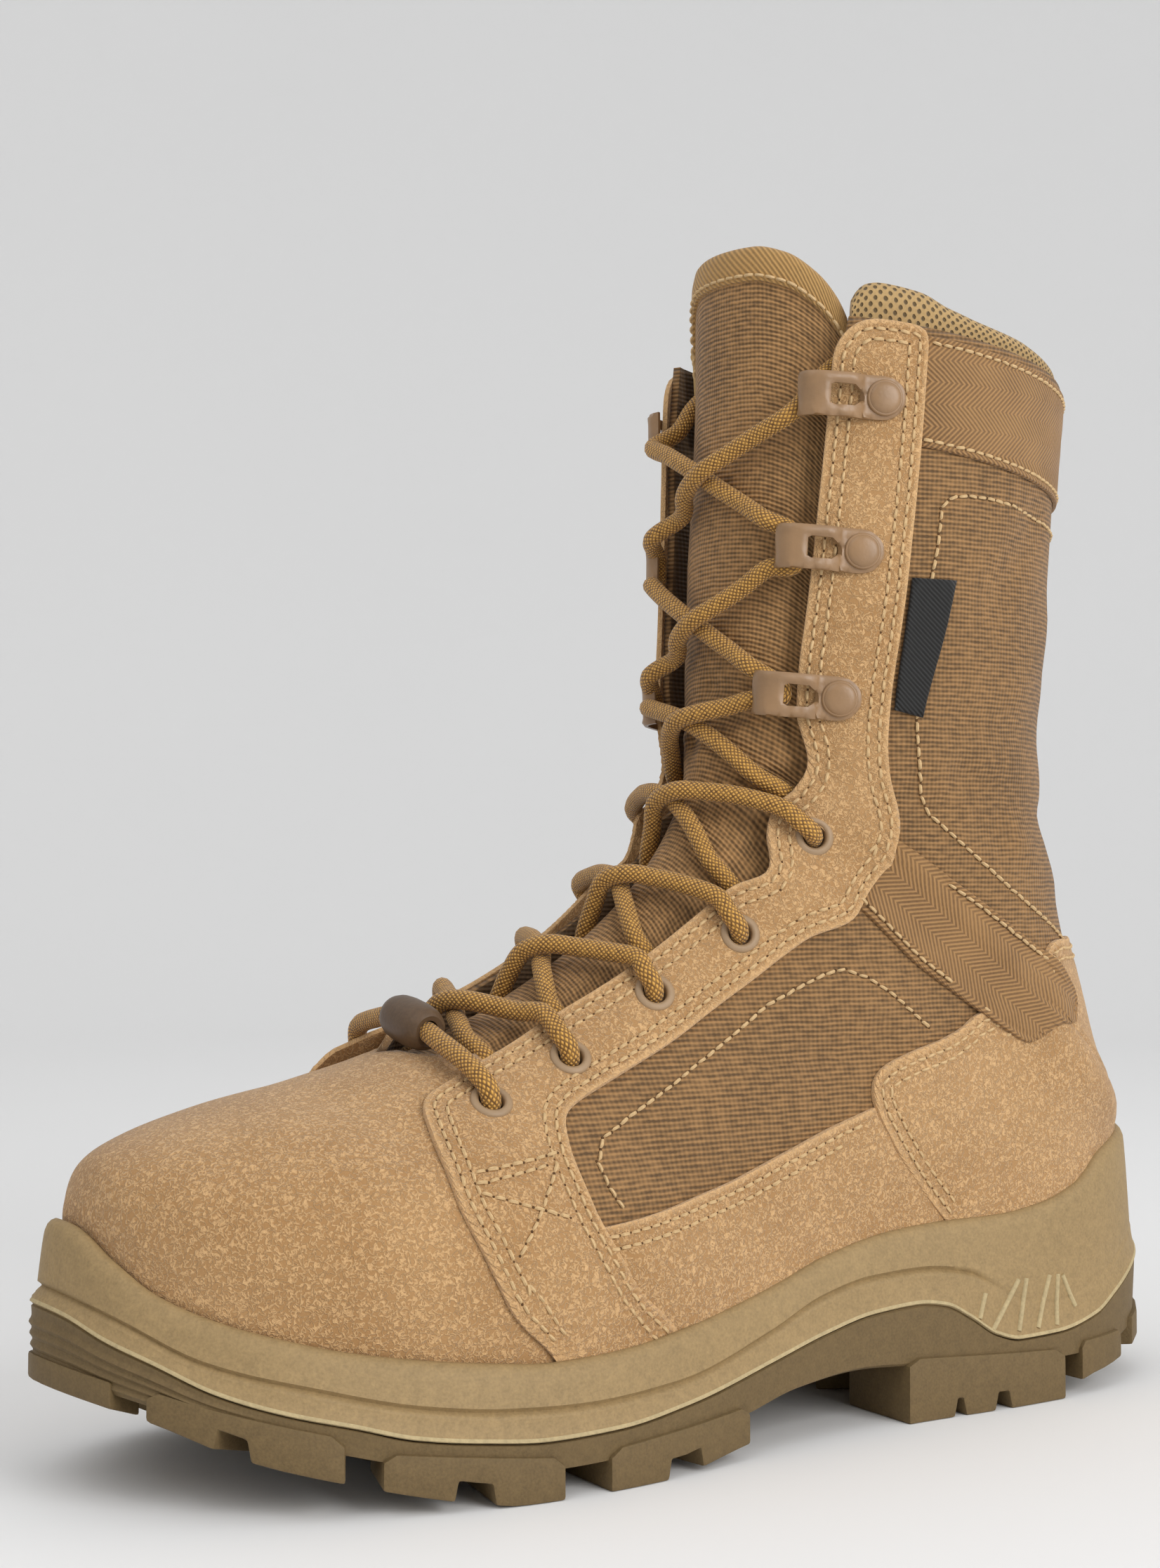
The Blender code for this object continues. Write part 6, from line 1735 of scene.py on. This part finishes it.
def hook_shape(width, rivet):
    """A stamped strap with a rounded rear, a slot and a curled front, and its domed rivet."""
    half = width / 2
    turn = np.linspace(math.pi / 2, 3 * math.pi / 2, 15)
    rear = [(half * math.cos(a), half * math.sin(a)) for a in turn]
    front = 22.5
    straight = np.arange(1.5, front, 1.5)
    ring = rear + [(x, -half) for x in straight] + [(front, y) for y in np.linspace(-half, half, 9)]
    ring += [(x, half) for x in straight[::-1]]
    slot = [(x, -w) for x, w in HOOK_SLOT] + [(x, w) for x, w in HOOK_SLOT[::-1]]
    ring, slot = np.array(ring), np.array(slot)
    inside = [(x, y) for x in np.arange(-half + 1, front, 1.2) for y in np.arange(-half + 0.9, half, 1.2)]
    inside = np.array(inside)
    gap = np.minimum(norm(inside[:, None] - ring[None], axis=2).min(1),
                     norm(inside[:, None] - slot[None], axis=2).min(1))
    inside = inside[(gap > 0.55) & within(inside, ring)]
    spots = np.concatenate([ring, slot, inside])
    closed = loop_edges(len(ring)) + loop_edges(len(slot), len(ring))
    found, _, faces = delaunay_2d_cdt([Vector(spot) for spot in spots], closed, [], 1, 1e-6)[:3]
    flat = np.array([tuple(spot) for spot in found])
    middle = np.array([flat[list(face)].mean(0) for face in faces])
    faces = [face for face, gone in zip(faces, within(middle, slot)) if not gone]
    x, z = np.array(HOOK_LINE).T
    run = np.concatenate([[0], np.cumsum(np.hypot(np.diff(x), np.diff(z)))]) + x[0]
    at = np.linspace(0, len(x) - 1, 200)
    line = through(np.column_stack([x, z]), at)
    along = np.interp(at, np.arange(len(run)), run)
    tilt = np.gradient(line, axis=0)
    tilt /= norm(tilt, axis=1, keepdims=True)
    here = read_rows(along, line, flat[:, 0])
    lean = read_rows(along, tilt, flat[:, 0])
    rim = np.minimum(norm(flat[:, None] - ring[None], axis=2).min(1),
                     norm(flat[:, None] - slot[None], axis=2).min(1))
    thick = HOOK_SHEET - 0.35 * np.exp(-(rim / 0.35) ** 2) + 0.28 * np.exp(-((rim - 1.0) / 0.5) ** 2)
    shape = Shape()
    sheet = lambda lift: np.column_stack([here[:, 0] - lean[:, 1] * lift, flat[:, 1],
                                          here[:, 1] + lean[:, 0] * lift])
    top = shape.add_points(sheet(thick))
    base = shape.add_points(sheet(np.zeros(len(flat))))
    shape.add_sheet(faces, top, base)
    dome = [(0.02, 2.7), (1.6, 2.66), (2.8, 2.5), (rivet - 0.75, 2.2), (rivet - 0.6, 2.0),
            (rivet - 0.45, 2.02), (rivet - 0.1, 1.85), (rivet, 1.5), (rivet, 0.9), (0.02, 0.9)]
    shape.add_tube(lathe(dome, 28))
    return shape


class BOOT_OT_hardware(bpy.types.Operator):
    """Sets the enamelled eyelets and speed hooks along the facings"""
    bl_idname = "boot.hardware"
    bl_label = "Eyelets and hooks"

    def execute(self, context):
        sizes = context.scene.boot_sizes
        colours = context.scene.boot_colours
        enamel = made_once(enamel_finish, "baked_enamel", colours.enamel, 0.4)
        matt = made_once(enamel_finish, "matt_enamel", colours.eyelet, 0.6)
        seat = SEAT + sizes.suede / MM
        flange, hole = sizes.eyelet / MM, sizes.hole / MM
        profile = [(hole, -4.2), (hole, -0.1), (hole + 0.2, 0.4), (hole + 0.7, 0.68), (flange - 1.0, 0.66),
                   (flange - 0.3, 0.45), (flange, 0.1), (flange, -0.3), (hole + 0.45, -0.3),
                   (hole + 0.45, -4.2)]
        ring = Shape()
        ring.add_grid(lathe(profile, 32), around=True, over=True)
        spots = [(s, side * t) for side, _ in SIDES for s, t in EYELETS]
        station, around = np.array(spots).T
        points = surface(station, around, seat)
        along = skin(station + 0.1, around) - skin(station, around)
        eyelets = on_points("eyelets", ring.build("one_eyelet", []), points, along,
                            skin_normal(station, around), matt)
        nodes = ["eyelet_%s_%d" % (name, k + 1) for _, name in SIDES for k in range(len(EYELETS))]
        hand_over(eyelets, "painted_metal", *nodes)
        points, along, up, nodes = [], [], [], []
        for side, name in SIDES:
            for number, hook in enumerate(HOOKS, 1):
                at = surface(hook.station, side * hook.around, seat)[0]
                points.append(at)
                along.append(skin(hook.front_station, side * hook.front_around)[0] - at)
                up.append(skin_normal(hook.station, side * hook.around)[0])
                nodes.append("hook_%s_%d" % (name, number))
        one = hook_shape(sizes.hook / MM, sizes.rivet / MM).build("one_hook", [])
        hooks = on_points("hooks", one, points, along, up, enamel)
        hand_over(hooks, "painted_metal", *nodes)
        return {"FINISHED"}


# The lace's rows: where it leaves from under the facing and where it enters from the outside
LaceRow = namedtuple("LaceRow", "out_station out_around in_station in_around hooked")
LACE_ROWS = [
    LaceRow(6.95, 0.10, 6.46, 0.269, False), LaceRow(7.95, 0.14, 7.58, 0.267, False),
    LaceRow(9.4, 0.155, 9.0, 0.267, False), LaceRow(11.2, 0.18, 10.55, 0.303, False),
    LaceRow(13.9, 0.185, 13.14, 0.321, False), LaceRow(16.9, 0.165, 16.2, 0.175, True),
    LaceRow(18.8, 0.185, 18.3, 0.195, True), LaceRow(20.3, 0.2, 19.8, 0.225, True),
]
ON_TONGUE = 2.5
ON_FLANGE = 4.6
CROSSING = 4.4
# The bottom bar from the medial eyelet to the lateral one, and its bead: station, around, lift
BAR = [(6.46, -0.231, 3.9), (6.5, -0.186, 3.6), (6.56, -0.1, 7.0), (6.58, -0.02, 5.4), (6.56, 0.06, 4.2),
       (6.5, 0.13, 4.2), (6.47, 0.19, 4.8), (6.46, 0.236, 4.6)]
BEAD = (6.57, 0.035, 4.6)
# The bead's outside: radius, height. Its bore fits the lace
BEAD_PROFILE = [(3.6, 8.0), (4.6, 7.2), (5.2, 5.4), (5.5, 2.5), (5.5, -2.5), (5.2, -5.4), (4.6, -7.2),
                (3.6, -8.0)]
BEAD_BORE_END = 7.6
# The lace's end under the facing: station, around, lift
LAST_TUCK = [(20.0, 0.262, 0.0), (20.3, 0.3, -3.2), (20.5, 0.345, -4.8), (20.6, 0.395, -5.4)]


def above_tongue(station, around, lift):
    """A spot at a height over the tongue's face."""
    return station, around, lift - float(tongue_drop(station, around))


def on_facing(station, around, lift):
    """A spot at a height over the upper, higher where the medial facing stands open."""
    return station, around, lift + float(flare(station, around))


def row_turn(row, side):
    """Spots at a row: into the eyelet and out from under the facing, or round a hook's loop."""
    if row.hooked:
        middle = (row.in_station + row.out_station) / 2
        wide = max(row.in_around, row.out_around) + 0.055
        return [on_facing(row.in_station, side * row.in_around, 1.9),
                on_facing(middle - 0.18, side * wide, 1.0), on_facing(middle + 0.12, side * wide, 1.0),
                on_facing(row.out_station, side * row.out_around, 1.9)]
    s, t = row.in_station, row.in_around
    edge = read(FLARE_EDGE, row.out_station)
    over = read(FLARE_EDGE, s)
    return [on_facing(s + 0.05, side * (over + 0.004), 4.3), on_facing(s, side * (t - 0.033), ON_FLANGE),
            on_facing(s, side * (t - 0.012), 3.7), on_facing(s, side * t, 0.8), on_facing(s, side * t, -3.4),
            on_facing(row.out_station - 0.12, side * (edge + 0.035), -4.9),
            above_tongue(row.out_station - 0.04, side * (edge - 0.012), ON_TONGUE),
            above_tongue(row.out_station, side * row.out_around, ON_TONGUE)]


def half_lace(side):
    """Spots of half the lace, from its first eyelet to its hidden end: station, around, lift."""
    spots = row_turn(LACE_ROWS[0], side)[2:]
    for lower, upper in zip(LACE_ROWS, LACE_ROWS[1:]):
        start, turn = (lower.out_station, side * lower.out_around), row_turn(upper, -side)
        end = turn[0]
        for f in np.linspace(0, 1, 7)[1:-1]:
            station, around = start[0] + (end[0] - start[0]) * f, start[1] + (end[1] - start[1]) * f
            low = above_tongue(station, around, ON_TONGUE)[2]
            lift = low + (end[2] - low) * np.clip((f - 0.4) / 0.6, 0, 1) ** 1.6
            hump = CROSSING * math.exp(-(around / 0.09) ** 2) if side < 0 else 0.0
            spots.append((station, around, lift + hump))
        side = -side
        spots += turn
    return spots[:-3] + [(s, side * t, lift) for s, t, lift in LAST_TUCK]


class BOOT_OT_lace(bpy.types.Operator):
    """Runs the braided lace through eyelets and hooks, with a bare bead on its bottom bar"""
    bl_idname = "boot.lace"
    bl_label = "Lace"

    def execute(self, context):
        sizes, colours = context.scene.boot_sizes, context.scene.boot_colours
        radius = sizes.lace / MM
        cord = made_once(cord_finish, "braided_nylon_cord", colours)
        bar = [on_facing(*spot) if spot[1] < -0.15 else spot for spot in BAR]
        spots = np.array(half_lace(-1)[::-1] + bar + half_lace(1))
        points = raised(spots[:, 0], spots[:, 1], spots[:, 2])
        route = evenly(through(points, np.linspace(0, len(points) - 1, 12 * len(points))), 1.1)
        rings, run = swept(route, radius, 12)
        shape = Shape()
        shape.add_tube(rings, np.linspace(0, 2 * math.pi * radius, 13), run)
        nodes = ["lace_bar"] + ["lace_cross_%d" % k for k in range(1, len(LACE_ROWS))]
        hand_over(shape.build("lace", [cord], merge=0.001), "braided_cord", *nodes)
        spot = np.argmin(norm(route - raised(*BEAD)[0], axis=1))
        middle, across = route[spot], route[spot + 2] - route[spot - 2]
        hold = radius + 0.1
        profile = [(hold, BEAD_BORE_END)] + BEAD_PROFILE + [(hold, -BEAD_BORE_END)]
        bead = Shape()
        bead.add_grid(lathe(profile, 32), around=True, over=True)
        finish = made_once(moulded_finish, "plain_bead", colours.bead, 0.45, 0.8, 0.05)
        placed = on_points("lace_bead", bead.build("one_bead", []), [middle], [(0, 0, 1)], [across], finish)
        hand_over(placed, "moulded_bead", "lace_keeper")
        return {"FINISHED"}


# The photograph's camera: place, turn about the upright, tilt and lens
CAMERA_SPOT = (334.53, 485.29, 131.35)
CAMERA_TURN = 147.04
CAMERA_TILT = -2.227
CAMERA_LENS = 54.81
# Soft boxes: name, place as right, towards the camera and up from the boot's middle, width, power
SoftBox = namedtuple("SoftBox", "name right near up size power")
SOFT_BOXES = [SoftBox("key_box", 0.95, 1.0, 0.5, 0.9, 14.5), SoftBox("fill_box", -0.8, 1.0, 1.3, 1.2, 4.5),
              SoftBox("top_box", -0.1, -0.25, 1.6, 1.6, 0.4)]
# The cove in metres: its flat floor's radius, its bend's radius and its wall's top
COVE_FLOOR = 1.4
COVE_ROUND = 1.5
COVE_TOP = 2.0
COVE_COLUMNS = 96
SKY_STRENGTH = 0.82


class BOOT_OT_stage(bpy.types.Operator):
    """Sets the pale round cove, the soft boxes and the camera at the photograph's angle"""
    bl_idname = "boot.stage"
    bl_label = "Stage"

    def execute(self, context):
        scene = context.scene
        made, shader, add = start_finish("matt_cove", Roughness=0.9, Specular_Ior_Level=0.1)
        place = add("TexCoord").outputs["Object"]
        cloud = add("TexNoise", {"Vector": place, "Scale": per(400), "Detail": 2.0})
        tone = tuple(scene.boot_colours.floor)
        coat(add, shader, shaded(tone, 0.985), tone, cloud, cloud, 0.0)
        shape = Shape()
        bend = np.linspace(0, math.pi / 2, 64)
        profile = [(r, 0.0) for r in np.linspace(0.02, COVE_FLOOR, 8)[:-1]]
        profile += [(COVE_FLOOR + COVE_ROUND * math.sin(a), COVE_ROUND * (1 - math.cos(a))) for a in bend]
        profile.append((COVE_FLOOR + COVE_ROUND, COVE_TOP))
        first = shape.add_grid(lathe(np.array(profile) / MM, COVE_COLUMNS), around=True)
        shape.add_face(range(first, first + COVE_COLUMNS))
        cove = shape.build("studio_cove", [made], outward=False)
        turn, tilt = math.radians(CAMERA_TURN), math.radians(CAMERA_TILT)
        back = Vector((math.sin(turn) * math.cos(tilt), -math.cos(turn) * math.cos(tilt), math.sin(tilt)))
        lens = bpy.data.cameras.new("photo_camera")
        lens.lens = CAMERA_LENS
        lens.sensor_fit = "AUTO"
        lens.sensor_width = 36.0
        camera = bpy.data.objects.new("photo_camera", lens)
        camera.location = Vector(CAMERA_SPOT) * MM
        camera.rotation_euler = (-back).to_track_quat("-Z", "Y").to_euler()
        scene.collection.objects.link(camera)
        scene.camera = camera
        near = Vector((back.x, back.y, 0)).normalized()
        right = Vector((-near.y, near.x, 0))
        middle = (CAD_BOX[0] + CAD_BOX[1]) / 2
        for box in SOFT_BOXES:
            lamp = bpy.data.lights.new(box.name, "AREA")
            lamp.shape = "SQUARE"
            lamp.size = box.size
            lamp.energy = box.power
            light = bpy.data.objects.new(box.name, lamp)
            light.location = middle + right * box.right + near * box.near + Vector((0, 0, box.up))
            light.rotation_euler = (middle - light.location).to_track_quat("-Z", "Y").to_euler()
            scene.collection.objects.link(light)
        world = bpy.data.worlds.new("studio_world")
        world.use_nodes = True
        sky = world.node_tree.nodes["Background"]
        sky.inputs["Color"].default_value = (1.0, 1.0, 1.0, 1.0)
        sky.inputs["Strength"].default_value = SKY_STRENGTH
        scene.world = world
        scene.view_settings.view_transform = "Standard"
        return {"FINISHED"}


class BOOT_PT_pieces(bpy.types.Panel):
    """Lists the boot's pieces, sizes and colours"""
    bl_idname = "BOOT_PT_pieces"
    bl_label = "Tactical boot"
    bl_space_type = "VIEW_3D"
    bl_region_type = "UI"
    bl_category = "Boot"

    def draw(self, context):
        for maker in OPERATORS:
            self.layout.operator(maker.bl_idname)
        for group in (context.scene.boot_sizes, context.scene.boot_colours):
            box = self.layout.box()
            for name in group.__annotations__:
                box.prop(group, name)


OPERATORS = (BOOT_OT_stage, BOOT_OT_upper, BOOT_OT_sole, BOOT_OT_overlays, BOOT_OT_webbing, BOOT_OT_tongue,
             BOOT_OT_collar, BOOT_OT_hardware, BOOT_OT_lace, BOOT_OT_stitches)
CLASSES = (BootSizes, BootColours) + OPERATORS + (BOOT_PT_pieces,)


def register():
    for kind in CLASSES:
        bpy.utils.register_class(kind)
    bpy.types.Scene.boot_sizes = PointerProperty(type=BootSizes)
    bpy.types.Scene.boot_colours = PointerProperty(type=BootColours)


def unregister():
    del bpy.types.Scene.boot_colours
    del bpy.types.Scene.boot_sizes
    for kind in reversed(CLASSES):
        bpy.utils.unregister_class(kind)


def main():
    register()
    bpy.ops.boot.stage()
    bpy.ops.boot.upper()
    bpy.ops.boot.sole()
    bpy.ops.boot.overlays()
    bpy.ops.boot.webbing()
    bpy.ops.boot.tongue()
    bpy.ops.boot.collar()
    bpy.ops.boot.hardware()
    bpy.ops.boot.lace()
    bpy.ops.boot.stitches()


if __name__ == "__main__":
    main()
